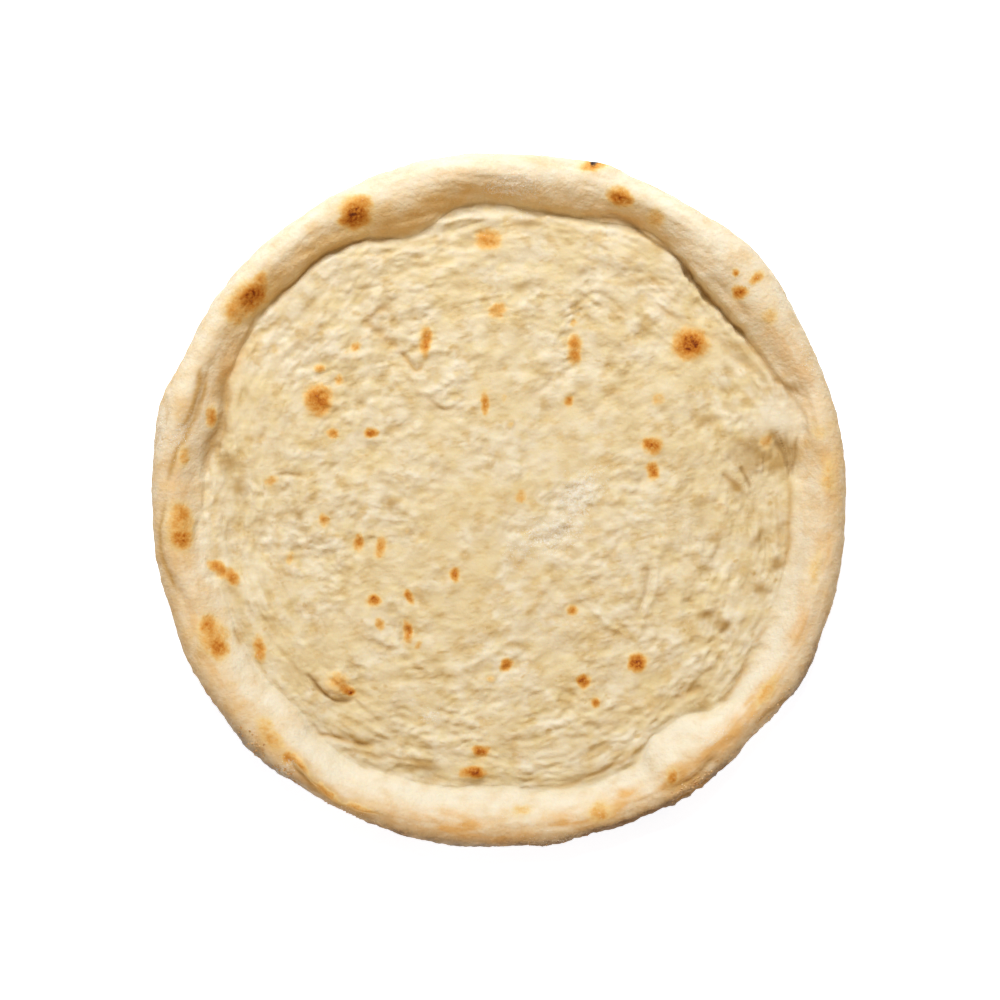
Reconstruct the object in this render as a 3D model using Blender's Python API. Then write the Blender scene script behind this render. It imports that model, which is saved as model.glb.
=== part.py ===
"""A par-baked pizza base: one round of stretched dough with a puffed, uneven rim.

Metres, +Z up. The origin is on the table under the middle of the round.
Angles are in degrees, counter-clockwise from +X as seen from above.
"""

import math

import bmesh
import bpy
import numpy as np
from mathutils import noise

MM = 0.001

# Driving sizes of the dough.
RADIUS = 149.8 * MM  # to the outermost side of the rim, between its swells
FOOT_RADIUS = 127.5 * MM  # where the rim's inner wall meets the floor
RIM_HEIGHT = 15.8 * MM  # the rim's crest above the table
FLOOR_HEIGHT = 6.5 * MM  # thickness of the stretched floor
CREST_SHARE = 0.60  # of the rim's width, from the foot out to the crest
WIDEST_SHARE = 0.42  # of the rim's height, up to its widest line
CONTACT_SHARE = 0.34  # of the rim's width, from its widest line in to the table
GROOVE_DEPTH = 1.2 * MM  # of the tuck that runs along the foot
GROOVE_WIDTH = 3.0 * MM

# Swells of the rim as (angle, half width in degrees, amount).
OUTER_SWELLS = (
    (8, 30, -0.9 * MM),
    (44, 15, 3.3 * MM),
    (73, 7, 1.7 * MM),
    (90, 12, -0.9 * MM),
    (142, 24, 0.5 * MM),
    (164, 8, 2.4 * MM),
    (174, 16, 0.8 * MM),
    (190, 8, 0.8 * MM),
    (209, 12, 2.0 * MM),
    (225, 14, 2.5 * MM),
    (271, 9, -0.8 * MM),
    (285, 6, -1.1 * MM),
    (303, 9, 1.0 * MM),
    (317, 7, -1.5 * MM),
    (330, 9, 1.7 * MM),
    (352, 14, -0.5 * MM),
)
FOOT_SWELLS = (
    (19, 10, 6.0 * MM),
    (42, 15, -1.6 * MM),
    (60, 13, 4.2 * MM),
    (79, 10, -2.2 * MM),
    (95, 6, 1.3 * MM),
    (108, 12, -7.0 * MM),
    (127, 10, 2.2 * MM),
    (142, 20, 3.1 * MM),
    (165, 9, -3.6 * MM),
    (197, 14, -2.2 * MM),
    (225, 6, -2.0 * MM),
    (239, 12, 2.6 * MM),
    (268, 15, -4.2 * MM),
    (289, 12, 1.8 * MM),
    (303, 6, -6.3 * MM),
    (309, 6, -5.8 * MM),
    (320, 8, 2.2 * MM),
    (345, 20, -1.3 * MM),
    (357, 12, -1.5 * MM),
)
HEIGHT_SWELLS = (
    (19, 18, -3.2 * MM),
    (47, 28, 2.2 * MM),
    (84, 14, 1.0 * MM),
    (110, 16, 1.4 * MM),
    (165, 18, 1.5 * MM),
    (200, 12, -1.6 * MM),
    (226, 22, 2.2 * MM),
    (270, 16, -0.8 * MM),
    (305, 14, 2.6 * MM),
    (345, 20, -1.6 * MM),
)
# How sharply the floor tucks in under the rim: 0 is a soft slope and 1 an upright wall.
TUCK = 0.55
TUCK_SWELLS = (
    (4, 30, -0.50),
    (46, 26, 0.40),
    (84, 18, 0.35),
    (132, 24, 0.10),
    (158, 18, -0.20),
    (190, 26, -0.45),
    (232, 20, -0.15),
    (282, 34, -0.25),
    (330, 30, -0.45),
)

# Creases pressed into the dough, and ridges where the depth is negative:
# (depth, half width, path of (angle, radius) points).
CREASES = (
    (1.5 * MM, 3.4 * MM, ((156, 138 * MM), (163, 136.5 * MM), (169, 140 * MM), (176, 143.5 * MM))),
    (1.1 * MM, 3.0 * MM, ((200, 141.5 * MM), (196, 144 * MM), (191, 147 * MM))),
    (-1.1 * MM, 3.0 * MM, ((250, 141.5 * MM), (245, 145 * MM), (239, 145 * MM), (233, 142 * MM))),
    (1.2 * MM, 3.4 * MM, ((114, 123 * MM), (107, 120 * MM), (101, 118 * MM))),
    (1.2 * MM, 4.0 * MM, ((48, 119 * MM), (38, 117.5 * MM), (29, 121 * MM))),
    (1.2 * MM, 3.0 * MM, ((13, 122 * MM), (8, 126 * MM), (4, 129 * MM))),
    (0.9 * MM, 3.2 * MM, ((231, 125 * MM), (239, 121.5 * MM), (252, 112.5 * MM))),
    (0.9 * MM, 2.8 * MM, ((309, 144.5 * MM), (304, 146 * MM), (300, 142 * MM))),
)

# Bubbles that rose in the oven, and a pit where the height is negative:
# (angle, distance from the middle, radius, height).
BUBBLES = (
    (39.4, 106.3 * MM, 10.0 * MM, 1.6 * MM),
    (151.4, 89.8 * MM, 9.0 * MM, 1.5 * MM),
    (228.6, 107.3 * MM, 8.5 * MM, 2.4 * MM),
    (20.0, 69.0 * MM, 7.0 * MM, 1.0 * MM),
    (116.6, 139.1 * MM, 8.0 * MM, 0.9 * MM),
    (140.5, 140.0 * MM, 9.0 * MM, 0.9 * MM),
    (185.0, 138.3 * MM, 9.0 * MM, 1.1 * MM),
    (206.0, 139.0 * MM, 9.0 * MM, 1.0 * MM),
    (196.0, 122.6 * MM, 7.0 * MM, 0.9 * MM),
    (263.6, 117.7 * MM, 7.0 * MM, 1.2 * MM),
    (309.9, 91.4 * MM, 6.0 * MM, 1.0 * MM),
    (10.5, 118.5 * MM, 8.0 * MM, -1.6 * MM),
)

# Relief that goes on all over the dough.
WAVE_HEIGHT = 1.1 * MM  # slow rise and fall of the floor
WAVE_LENGTH = 46 * MM
RIPPLE_HEIGHT = 1.15 * MM  # stretch marks that run round the disc
RIPPLE_WIDTH = 7.5 * MM  # across them
RIPPLE_LENGTH = 15 * MM  # along them, out at RIPPLE_RADIUS
RIPPLE_RADIUS = 100 * MM
RIPPLE_START = 22 * MM  # nearer the middle the marks fade into plain lumps
RIPPLE_FULL = 58 * MM
LUMP_LENGTH = 11 * MM
RIM_LUMP_HEIGHT = 1.5 * MM
RIM_LUMP_LENGTH = 27 * MM
RIM_LUMP_OUTSIDE = 0.4  # how much of the lumps' height is left on the rim's outer side
FLOOR_EDGE = (-9 * MM, 1 * MM)  # from the foot, where the floor's relief gives way to the rim's
LIFT_HEIGHT = 4.2 * MM  # of the shallow places where the underside left the baking stone
LIFT_LENGTH = 24 * MM
LIFT_LEVEL = 0.16  # the underside lies flat where the noise is lower than this
DOME_POWER = 1.5  # how softly a bubble or a lifted place runs out at its edge
SLOPE_STEP = 0.02  # of a stretch of the section, over which its slope is measured

# Height at which each relief is cut out of the same three-dimensional noise.
LUMP_CUT = 3.7
WAVE_CUT = 9.1
RIM_LUMP_CUT = 5.3
LIFT_CUT = 1.9

# How finely the faceted solid is cut.
RIM_SEGMENTS = 156
LEAST_SEGMENTS = 8
FLOOR_RINGS = 35
WALL_RINGS = 5
SHOULDER_RINGS = 4
TURN_RINGS = 3
UNDERSIDE_RINGS = 11

CRUST_COLOUR = (0.80, 0.60, 0.33, 1.0)
CRUST_ROUGHNESS = 0.85


def smooth_step(low, high, value):
    share = np.clip((value - low) / (high - low), 0.0, 1.0)
    return share * share * (3.0 - 2.0 * share)


def swelled(angle, base, swells):
    """The base value at each angle, raised or lowered by the rounded swells there."""
    total = np.full_like(angle, base)
    for centre, half_width, amount in swells:
        away = np.abs((np.degrees(angle) - centre + 180.0) % 360.0 - 180.0)
        total += np.where(away < half_width, 0.5 * (1 + np.cos(np.pi * away / half_width)), 0) * amount
    return total


class Rim:
    """The rim's own sizes at each of the given angles."""

    def __init__(self, angle):
        self.outer = swelled(angle, RADIUS, OUTER_SWELLS)
        self.foot = swelled(angle, FOOT_RADIUS, FOOT_SWELLS)
        self.height = swelled(angle, RIM_HEIGHT, HEIGHT_SWELLS)
        self.tuck = swelled(angle, TUCK, TUCK_SWELLS)
        width = self.outer - self.foot
        self.crest = self.foot + CREST_SHARE * width
        self.widest = WIDEST_SHARE * self.height
        self.contact = self.outer - CONTACT_SHARE * width


# The section runs from the middle of the top, over the rim, to the middle of the underside.
# Each stretch takes a share from 0 to 1 along itself and returns radius and height.


def floor(share, rim):
    radius = share * rim.foot
    groove = np.exp(-(((rim.foot - radius) / GROOVE_WIDTH) ** 2)) * rim.tuck
    return radius, FLOOR_HEIGHT - GROOVE_DEPTH * groove


def inner_wall(share, rim):
    soft = 0.5 - 0.5 * np.cos(np.pi * share)
    round_wall = np.sqrt(np.clip(1.0 - (1.0 - share) ** 2, 0.0, 1.0))
    rise = soft + (round_wall - soft) * rim.tuck
    start = FLOOR_HEIGHT - GROOVE_DEPTH * rim.tuck
    return rim.foot + share * (rim.crest - rim.foot), start + rise * (rim.height - start)


def shoulder(share, rim):
    turn = share * np.pi / 2
    radius = rim.crest + (rim.outer - rim.crest) * np.sin(turn)
    return radius, rim.widest + (rim.height - rim.widest) * np.cos(turn)


def under_turn(share, rim):
    turn = share * np.pi / 2
    radius = rim.contact + (rim.outer - rim.contact) * np.cos(turn)
    return radius, rim.widest * (1.0 - np.sin(turn))


def underside(share, rim):
    return rim.contact * (1.0 - share), np.zeros_like(rim.contact)


def noise_at(x, y, z):
    return np.array([noise.noise(point) for point in np.stack((x, y, z), axis=-1).tolist()])


def lumps(x, y, length, cut):
    """Even lumps of that length in plan."""
    return noise_at(x / length, y / length, np.full_like(x, cut))


def distance_to_path(x, y, path):
    """How far each point lies from a path of (angle, radius) points, in plan."""
    corners = [(r * math.cos(math.radians(a)), r * math.sin(math.radians(a))) for a, r in path]
    nearest = np.full_like(x, np.inf)
    for (x0, y0), (x1, y1) in zip(corners, corners[1:]):
        dx, dy = x1 - x0, y1 - y0
        along = np.clip(((x - x0) * dx + (y - y0) * dy) / (dx * dx + dy * dy), 0.0, 1.0)
        nearest = np.minimum(nearest, np.hypot(x - x0 - along * dx, y - y0 - along * dy))
    return nearest


def top_relief(x, y, rim):
    """How far the upper skin stands out from its plain section."""
    radius, angle = np.hypot(x, y), np.arctan2(y, x)
    on_floor = 1.0 - smooth_step(rim.foot + FLOOR_EDGE[0], rim.foot + FLOOR_EDGE[1], radius)
    on_rim = (1.0 - on_floor) * (1.0 - (1.0 - RIM_LUMP_OUTSIDE) * smooth_step(rim.crest, rim.outer, radius))
    stretched = smooth_step(RIPPLE_START, RIPPLE_FULL, radius)
    turns = RIPPLE_RADIUS / RIPPLE_LENGTH
    ripple = noise_at(turns * np.cos(angle), turns * np.sin(angle), radius / RIPPLE_WIDTH)
    lump = lumps(x, y, LUMP_LENGTH, LUMP_CUT)
    wave = lumps(x, y, WAVE_LENGTH, WAVE_CUT)
    relief = on_floor * (WAVE_HEIGHT * wave + RIPPLE_HEIGHT * (lump + (ripple - lump) * stretched))
    relief += on_rim * RIM_LUMP_HEIGHT * lumps(x, y, RIM_LUMP_LENGTH, RIM_LUMP_CUT)
    for centre, distance, size, height in BUBBLES:
        bearing = math.radians(centre)
        away = np.hypot(x - distance * math.cos(bearing), y - distance * math.sin(bearing)) / size
        relief += height * np.clip(1.0 - away**2, 0.0, 1.0) ** DOME_POWER
    for depth, half_width, path in CREASES:
        relief -= depth * np.exp(-((distance_to_path(x, y, path) / half_width) ** 2))
    return relief


def lift(x, y):
    """Height of the shallow hollows in the underside."""
    level = lumps(x, y, LIFT_LENGTH, LIFT_CUT)
    return LIFT_HEIGHT * np.clip(level - LIFT_LEVEL, 0.0, None) ** DOME_POWER


def rings():
    """(stretch, share along it) for each ring of the skin, top middle to bottom middle."""
    for stretch, count in (
        (floor, FLOOR_RINGS),
        (inner_wall, WALL_RINGS),
        (shoulder, SHOULDER_RINGS),
        (under_turn, TURN_RINGS),
    ):
        for step in range(1, count + 1):
            yield stretch, step / count
    for step in range(1, UNDERSIDE_RINGS):
        yield underside, step / UNDERSIDE_RINGS


def ring_points(stretch, share, angle):
    """Points of one ring, with the relief laid on square to the section."""
    rim = Rim(angle)
    radius, height = stretch(share, rim)
    before = stretch(max(share - SLOPE_STEP, 0.0), rim)
    after = stretch(min(share + SLOPE_STEP, 1.0), rim)
    run, rise = after[0] - before[0], after[1] - before[1]
    length = np.hypot(run, rise)
    x, y = radius * np.cos(angle), radius * np.sin(angle)
    if stretch is underside:
        return np.stack((x, y, lift(x, y)), axis=-1)
    fade = 1.0 if stretch is not under_turn else 1.0 - share
    relief = top_relief(x, y, rim) * fade
    radius = radius - relief * rise / length
    height = height + relief * run / length
    return np.stack((radius * np.cos(angle), radius * np.sin(angle), height), axis=-1)


def segments_at(share):
    return max(LEAST_SEGMENTS, round(RIM_SEGMENTS * min(share, 1.0)))


def stitch(bm, inner, outer):
    """Fills the band between two closed rings of vertices that may differ in number."""
    i = j = 0
    while i < len(inner) or j < len(outer):
        here, there = inner[i % len(inner)], outer[j % len(outer)]
        if (i + 1) / len(inner) < (j + 1) / len(outer) and i < len(inner) or j == len(outer):
            i += 1
            bm.faces.new((here, there, inner[i % len(inner)]))
        else:
            j += 1
            bm.faces.new((here, there, outer[j % len(outer)]))


def build_skin():
    bm = bmesh.new()
    middle = np.zeros(1)
    previous = [bm.verts.new((0.0, 0.0, FLOOR_HEIGHT + float(top_relief(middle, middle, Rim(middle))[0])))]
    for stretch, share in rings():
        spread = share if stretch is floor else 1.0 - share if stretch is underside else 1.0
        count = segments_at(spread)
        angle = np.arange(count) * 2 * np.pi / count
        ring = [bm.verts.new(point) for point in ring_points(stretch, share, angle).tolist()]
        if len(previous) == 1:
            for here, after in zip(ring, ring[1:] + ring[:1]):
                bm.faces.new((previous[0], here, after))
        else:
            stitch(bm, previous, ring)
        previous = ring
    pole = bm.verts.new((0.0, 0.0, float(lift(middle, middle)[0])))
    for here, after in zip(previous, previous[1:] + previous[:1]):
        bm.faces.new((pole, after, here))
    return bm


def centre_in_plan(bm):
    """Moves the round so that its box is centred on the origin."""
    points = np.array([vertex.co for vertex in bm.verts])
    shift = -(points.min(axis=0) + points.max(axis=0)) / 2
    bmesh.ops.translate(bm, verts=bm.verts, vec=(shift[0], shift[1], 0.0))


def crust_material():
    material = bpy.data.materials.new("crust")
    material.use_nodes = True
    shader = material.node_tree.nodes["Principled BSDF"]
    shader.inputs["Base Color"].default_value = CRUST_COLOUR
    shader.inputs["Roughness"].default_value = CRUST_ROUGHNESS
    return material


def main():
    for old in list(bpy.data.objects):
        bpy.data.objects.remove(old)
    bm = build_skin()
    centre_in_plan(bm)
    mesh = bpy.data.meshes.new("pizza_base")
    bm.to_mesh(mesh)
    bm.free()
    mesh.shade_smooth()
    mesh.materials.append(crust_material())
    bpy.context.scene.collection.objects.link(bpy.data.objects.new("pizza_base", mesh))


main()
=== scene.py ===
import math

import bpy
import numpy as np
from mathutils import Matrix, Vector, noise


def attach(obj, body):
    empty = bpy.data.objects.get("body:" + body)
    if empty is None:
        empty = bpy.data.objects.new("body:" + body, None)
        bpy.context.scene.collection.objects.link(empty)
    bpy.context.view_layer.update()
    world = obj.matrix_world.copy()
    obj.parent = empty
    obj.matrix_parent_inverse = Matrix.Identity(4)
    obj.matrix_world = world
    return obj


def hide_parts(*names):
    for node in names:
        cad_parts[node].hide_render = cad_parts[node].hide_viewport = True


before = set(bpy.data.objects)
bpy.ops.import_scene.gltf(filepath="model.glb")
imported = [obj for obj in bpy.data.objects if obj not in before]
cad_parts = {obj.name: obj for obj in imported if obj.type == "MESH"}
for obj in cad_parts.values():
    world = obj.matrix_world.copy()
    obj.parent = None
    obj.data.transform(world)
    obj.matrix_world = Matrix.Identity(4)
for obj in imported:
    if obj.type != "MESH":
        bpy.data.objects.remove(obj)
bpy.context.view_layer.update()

MM = 0.001


# ---- The dough's form ----
# One round of stretched dough with a puffed rim, baked once until it only just takes colour.
# Its skin runs from the middle of the top, over the rim, to the middle of the underside,
# in rings, so that its sizes are those of the section at each angle round the disc.

RADIUS = 149.8 * MM  # to the outermost side of the rim, between its swells
FOOT_RADIUS = 127.5 * MM  # where the rim's inner wall meets the floor
RIM_HEIGHT = 15.8 * MM
FLOOR_HEIGHT = 6.5 * MM
CREST_SHARE = 0.60  # of the rim's width, from the foot out to the crest
WIDEST_SHARE = 0.42  # of the rim's height, up to its widest line
CONTACT_SHARE = 0.34  # of the rim's width, from its widest line in to the table
GROOVE_DEPTH = 0.9 * MM  # of the tuck that runs along the foot
GROOVE_WIDTH = 3.0 * MM

# Swells of the rim as (angle, half width in degrees, amount in millimetres).
OUTER_SWELLS = (
    (8, 30, -0.9),
    (44, 15, 3.3),
    (73, 7, 1.7),
    (90, 12, -0.9),
    (142, 24, 0.5),
    (164, 8, 2.4),
    (174, 16, 0.8),
    (190, 8, 0.8),
    (209, 12, 2.0),
    (225, 14, 2.5),
    (271, 9, -0.8),
    (285, 6, -1.1),
    (303, 9, 1.0),
    (317, 7, -1.5),
    (330, 9, 1.7),
    (352, 14, -0.5),
)
FOOT_SWELLS = (
    (19, 10, 6.0),
    (42, 15, -1.6),
    (60, 13, 4.2),
    (79, 10, -2.2),
    (95, 6, 1.3),
    (108, 12, -7.0),
    (127, 10, 2.2),
    (142, 20, 3.1),
    (165, 9, -3.6),
    (197, 14, -2.2),
    (225, 6, -2.0),
    (239, 12, 2.6),
    (268, 15, -4.2),
    (289, 12, 1.8),
    (303, 6, -6.3),
    (309, 6, -5.8),
    (320, 8, 2.2),
    (345, 20, -1.3),
    (357, 12, -1.5),
)
HEIGHT_SWELLS = (
    (19, 18, -3.2),
    (47, 28, 2.2),
    (84, 14, 1.0),
    (110, 16, 1.4),
    (165, 18, 1.5),
    (200, 12, -1.6),
    (226, 22, 2.2),
    (270, 16, -0.8),
    (305, 14, 2.6),
    (345, 20, -1.6),
)
# How sharply the floor tucks in under the rim: 0 is a soft slope and 1 an upright wall. Its swells
# are amounts of that.
TUCK = 0.55
TUCK_SWELLS = (
    (4, 30, -0.50),
    (48, 18, 0.22),
    (26, 12, -0.25),
    (84, 18, 0.15),
    (158, 18, -0.20),
    (190, 26, -0.45),
    (232, 20, -0.15),
    (282, 34, -0.25),
    (330, 30, -0.45),
)

# Creases pressed into the dough, and ridges where the depth is negative:
# (depth, half width, path of (angle, radius) points), in millimetres and degrees.
CREASES = (
    (1.0, 3.4, ((156, 138), (163, 136.5), (169, 140), (176, 143.5))),
    (1.1, 3.0, ((200, 141.5), (196, 144), (191, 147))),
    (-1.1, 3.0, ((250, 141.5), (245, 145), (239, 145), (233, 142))),
    (1.2, 3.4, ((114, 123), (107, 120), (101, 118))),
    (1.2, 4.0, ((48, 119), (38, 117.5), (29, 121))),
    (1.2, 3.0, ((13, 122), (8, 126), (4, 129))),
    (0.9, 3.2, ((231, 125), (239, 121.5), (252, 112.5))),
    (0.5, 2.8, ((309, 144.5), (304, 146), (300, 142))),
)

# Bubbles that rose in the oven, and a pit where the height is negative:
# (angle, distance from the middle, radius, height), in degrees and millimetres.
BUBBLES = (
    (39.4, 106.3, 10.0, 1.6),
    (151.4, 89.8, 9.0, 1.5),
    (228.6, 107.3, 8.5, 2.4),
    (20.0, 69.0, 7.0, 1.0),
    (116.6, 139.1, 8.0, 0.9),
    (140.5, 140.0, 9.0, 0.9),
    (185.0, 138.3, 9.0, 1.1),
    (206.0, 139.0, 9.0, 1.0),
    (196.0, 122.6, 7.0, 0.9),
    (263.6, 117.7, 7.0, 1.2),
    (309.9, 91.4, 6.0, 1.0),
    (10.5, 118.5, 8.0, -1.6),
)

# Relief that goes on all over the dough.
WAVE_HEIGHT = 1.1 * MM  # slow rise and fall of the floor
WAVE_LENGTH = 46 * MM
RIPPLE_HEIGHT = 1.15 * MM  # stretch marks that run round the disc
RIPPLE_WIDTH = 7.5 * MM  # across them
RIPPLE_LENGTH = 15 * MM  # along them, out at RIPPLE_RADIUS
RIPPLE_RADIUS = 100 * MM
RIPPLE_START = 22 * MM  # nearer the middle the marks fade into plain lumps
RIPPLE_FULL = 58 * MM
LUMP_LENGTH = 11 * MM
RIM_LUMP_HEIGHT = 1.5 * MM
RIM_LUMP_LENGTH = 27 * MM
RIM_LUMP_OUTSIDE = 0.4  # how much of the lumps' height is left on the rim's outer side
FLOOR_EDGE = (-9 * MM, 1 * MM)  # from the foot, where the floor's relief gives way to the rim's
LIFT_HEIGHT = 4.2 * MM  # of the shallow places where the underside left the baking stone
LIFT_LENGTH = 24 * MM
LIFT_LEVEL = 0.16  # the underside lies flat where the noise is lower than this
DOME_POWER = 1.5  # how softly a bubble or a lifted place runs out at its edge
FOOT_STRAYS = ((1.0 * MM, 13 * MM), (0.5 * MM, 5 * MM))  # how far it wanders, and over what length
SLOPE_STEP = 0.02  # of a stretch of the section, over which its slope is measured

# Height at which each relief is cut out of the same three-dimensional noise.
LUMP_CUT = 3.7
WAVE_CUT = 9.1
RIM_LUMP_CUT = 5.3
LIFT_CUT = 1.9

# How finely the skin is laid out.
RIM_SEGMENTS = 740
UNDERSIDE_SEGMENTS = 300
LEAST_SEGMENTS = 8
FLOOR_RINGS = 146
FOOT_CROWDING = 0.35  # how much closer the rings lie at the foot than over the whole floor
WALL_RINGS = 17
SHOULDER_RINGS = 14
TURN_RINGS = 8
UNDERSIDE_RINGS = 36


def smooth_step(low, high, value):
    share = np.clip((value - low) / (high - low), 0.0, 1.0)
    return share * share * (3.0 - 2.0 * share)


def degrees_off(angle, centre):
    """How far each angle lies from the centre, the short way round."""
    return np.abs((angle - centre + 180.0) % 360.0 - 180.0)


def swelled(angle, base, swells, unit=1.0):
    """The base value at each angle, raised or lowered by the rounded swells there."""
    total = np.full_like(angle, base)
    for centre, half_width, amount in swells:
        away = degrees_off(np.degrees(angle), centre)
        swell = np.where(away < half_width, 0.5 * (1 + np.cos(np.pi * away / half_width)), 0)
        total += swell * (amount * unit)
    return total


def noise_at(x, y, z):
    return np.array([noise.noise(point) for point in np.stack((x, y, z), axis=-1).tolist()])


def wandering(angle):
    """How far the foot strays from its swells at each angle."""
    stray = np.zeros_like(angle)
    for far, length in FOOT_STRAYS:
        turns = FOOT_RADIUS / length
        level = np.full_like(angle, length / MM)
        stray += far * noise_at(turns * np.cos(angle), turns * np.sin(angle), level)
    return stray


class Rim:
    """The rim's own sizes at each of the given angles."""

    def __init__(self, angle):
        self.outer = swelled(angle, RADIUS, OUTER_SWELLS, MM)
        self.foot = swelled(angle, FOOT_RADIUS, FOOT_SWELLS, MM) + wandering(angle)
        self.height = swelled(angle, RIM_HEIGHT, HEIGHT_SWELLS, MM)
        self.tuck = swelled(angle, TUCK, TUCK_SWELLS)
        width = self.outer - self.foot
        self.crest = self.foot + CREST_SHARE * width
        self.widest = WIDEST_SHARE * self.height
        self.contact = self.outer - CONTACT_SHARE * width


# Each stretch of the section takes a share from 0 to 1 along itself and returns radius and height.


def floor(share, rim):
    radius = share * rim.foot
    groove = np.exp(-(((rim.foot - radius) / GROOVE_WIDTH) ** 2)) * rim.tuck
    return radius, FLOOR_HEIGHT - GROOVE_DEPTH * groove


def inner_wall(share, rim):
    soft = 0.5 - 0.5 * np.cos(np.pi * share)
    round_wall = np.sqrt(np.clip(1.0 - (1.0 - share) ** 2, 0.0, 1.0))
    rise = soft + (round_wall - soft) * rim.tuck
    start = FLOOR_HEIGHT - GROOVE_DEPTH * rim.tuck
    return rim.foot + share * (rim.crest - rim.foot), start + rise * (rim.height - start)


def shoulder(share, rim):
    turn = share * np.pi / 2
    radius = rim.crest + (rim.outer - rim.crest) * np.sin(turn)
    return radius, rim.widest + (rim.height - rim.widest) * np.cos(turn)


def under_turn(share, rim):
    turn = share * np.pi / 2
    radius = rim.contact + (rim.outer - rim.contact) * np.cos(turn)
    return radius, rim.widest * (1.0 - np.sin(turn))


def underside(share, rim):
    return rim.contact * (1.0 - share), np.zeros_like(rim.contact)


def lumps(x, y, length, cut):
    """Even lumps of that length in plan."""
    return noise_at(x / length, y / length, np.full_like(x, cut))


def distance_to_path(x, y, path):
    """How far each point lies from a path of (angle, radius) points, in plan."""
    corners = [(r * MM * math.cos(math.radians(a)), r * MM * math.sin(math.radians(a))) for a, r in path]
    nearest = np.full_like(x, np.inf)
    for (x0, y0), (x1, y1) in zip(corners, corners[1:]):
        dx, dy = x1 - x0, y1 - y0
        along = np.clip(((x - x0) * dx + (y - y0) * dy) / (dx * dx + dy * dy), 0.0, 1.0)
        nearest = np.minimum(nearest, np.hypot(x - x0 - along * dx, y - y0 - along * dy))
    return nearest


def on_floor(radius, rim, edge=FLOOR_EDGE):
    return 1.0 - smooth_step(rim.foot + edge[0], rim.foot + edge[1], radius)


def top_relief(x, y, rim):
    """How far the upper skin stands out from its plain section."""
    radius, angle = np.hypot(x, y), np.arctan2(y, x)
    flat = on_floor(radius, rim)
    on_rim = (1.0 - flat) * (1.0 - (1.0 - RIM_LUMP_OUTSIDE) * smooth_step(rim.crest, rim.outer, radius))
    stretched = smooth_step(RIPPLE_START, RIPPLE_FULL, radius)
    turns = RIPPLE_RADIUS / RIPPLE_LENGTH
    ripple = noise_at(turns * np.cos(angle), turns * np.sin(angle), radius / RIPPLE_WIDTH)
    lump = lumps(x, y, LUMP_LENGTH, LUMP_CUT)
    wave = lumps(x, y, WAVE_LENGTH, WAVE_CUT)
    relief = flat * (WAVE_HEIGHT * wave + RIPPLE_HEIGHT * (lump + (ripple - lump) * stretched))
    relief += on_rim * RIM_LUMP_HEIGHT * lumps(x, y, RIM_LUMP_LENGTH, RIM_LUMP_CUT)
    for centre, distance, size, height in BUBBLES:
        bearing, far = math.radians(centre), distance * MM
        away = np.hypot(x - far * math.cos(bearing), y - far * math.sin(bearing)) / (size * MM)
        relief += height * MM * np.clip(1.0 - away**2, 0.0, 1.0) ** DOME_POWER
    for depth, half_width, path in CREASES:
        relief -= depth * MM * np.exp(-((distance_to_path(x, y, path) / (half_width * MM)) ** 2))
    return relief


def lift(x, y):
    """Height of the shallow hollows in the underside."""
    level = lumps(x, y, LIFT_LENGTH, LIFT_CUT)
    return LIFT_HEIGHT * np.clip(level - LIFT_LEVEL, 0.0, None) ** DOME_POWER


def rings():
    """(stretch, share along it, vertices) for each ring, from the middle of the top to below."""
    for stretch, count in (
        (floor, FLOOR_RINGS),
        (inner_wall, WALL_RINGS),
        (shoulder, SHOULDER_RINGS),
        (under_turn, TURN_RINGS),
    ):
        for step in range(1, count + 1):
            share = step / count
            if stretch is floor:
                share *= 1.0 + FOOT_CROWDING * (1.0 - share)
            spread = share if stretch is floor else 1.0
            yield stretch, share, max(LEAST_SEGMENTS, round(RIM_SEGMENTS * spread))
    for step in range(1, UNDERSIDE_RINGS):
        share = step / UNDERSIDE_RINGS
        yield underside, share, max(LEAST_SEGMENTS, round(UNDERSIDE_SEGMENTS * (1.0 - share)))


def ring_points(stretch, share, angle):
    """Points of one ring, with the relief laid on square to the section."""
    rim = Rim(angle)
    radius, height = stretch(share, rim)
    before = stretch(max(share - SLOPE_STEP, 0.0), rim)
    after = stretch(min(share + SLOPE_STEP, 1.0), rim)
    run, rise = after[0] - before[0], after[1] - before[1]
    length = np.hypot(run, rise)
    x, y = radius * np.cos(angle), radius * np.sin(angle)
    if stretch is underside:
        return np.stack((x, y, lift(x, y)), axis=-1)
    fade = 1.0 if stretch is not under_turn else 1.0 - share
    relief = (top_relief(x, y, rim) - folded(x, y)[0]) * fade
    radius = radius - relief * rise / length
    height = height + relief * run / length
    return np.stack((radius * np.cos(angle), radius * np.sin(angle), height), axis=-1)


def stitch(inner, outer, inner_start, outer_start):
    """Triangles that fill the band between two closed rings, either of which may be one point."""
    triangles = []
    inner_steps, outer_steps = inner if inner > 1 else 0, outer if outer > 1 else 0
    i = j = 0
    while i < inner_steps or j < outer_steps:
        here, there = inner_start + i % inner, outer_start + j % outer
        if i < inner_steps and (j == outer_steps or (i + 1) * outer_steps < (j + 1) * inner_steps):
            i += 1
            triangles.append((here, there, inner_start + i % inner))
        else:
            j += 1
            triangles.append((here, there, outer_start + j % outer))
    return triangles


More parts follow.
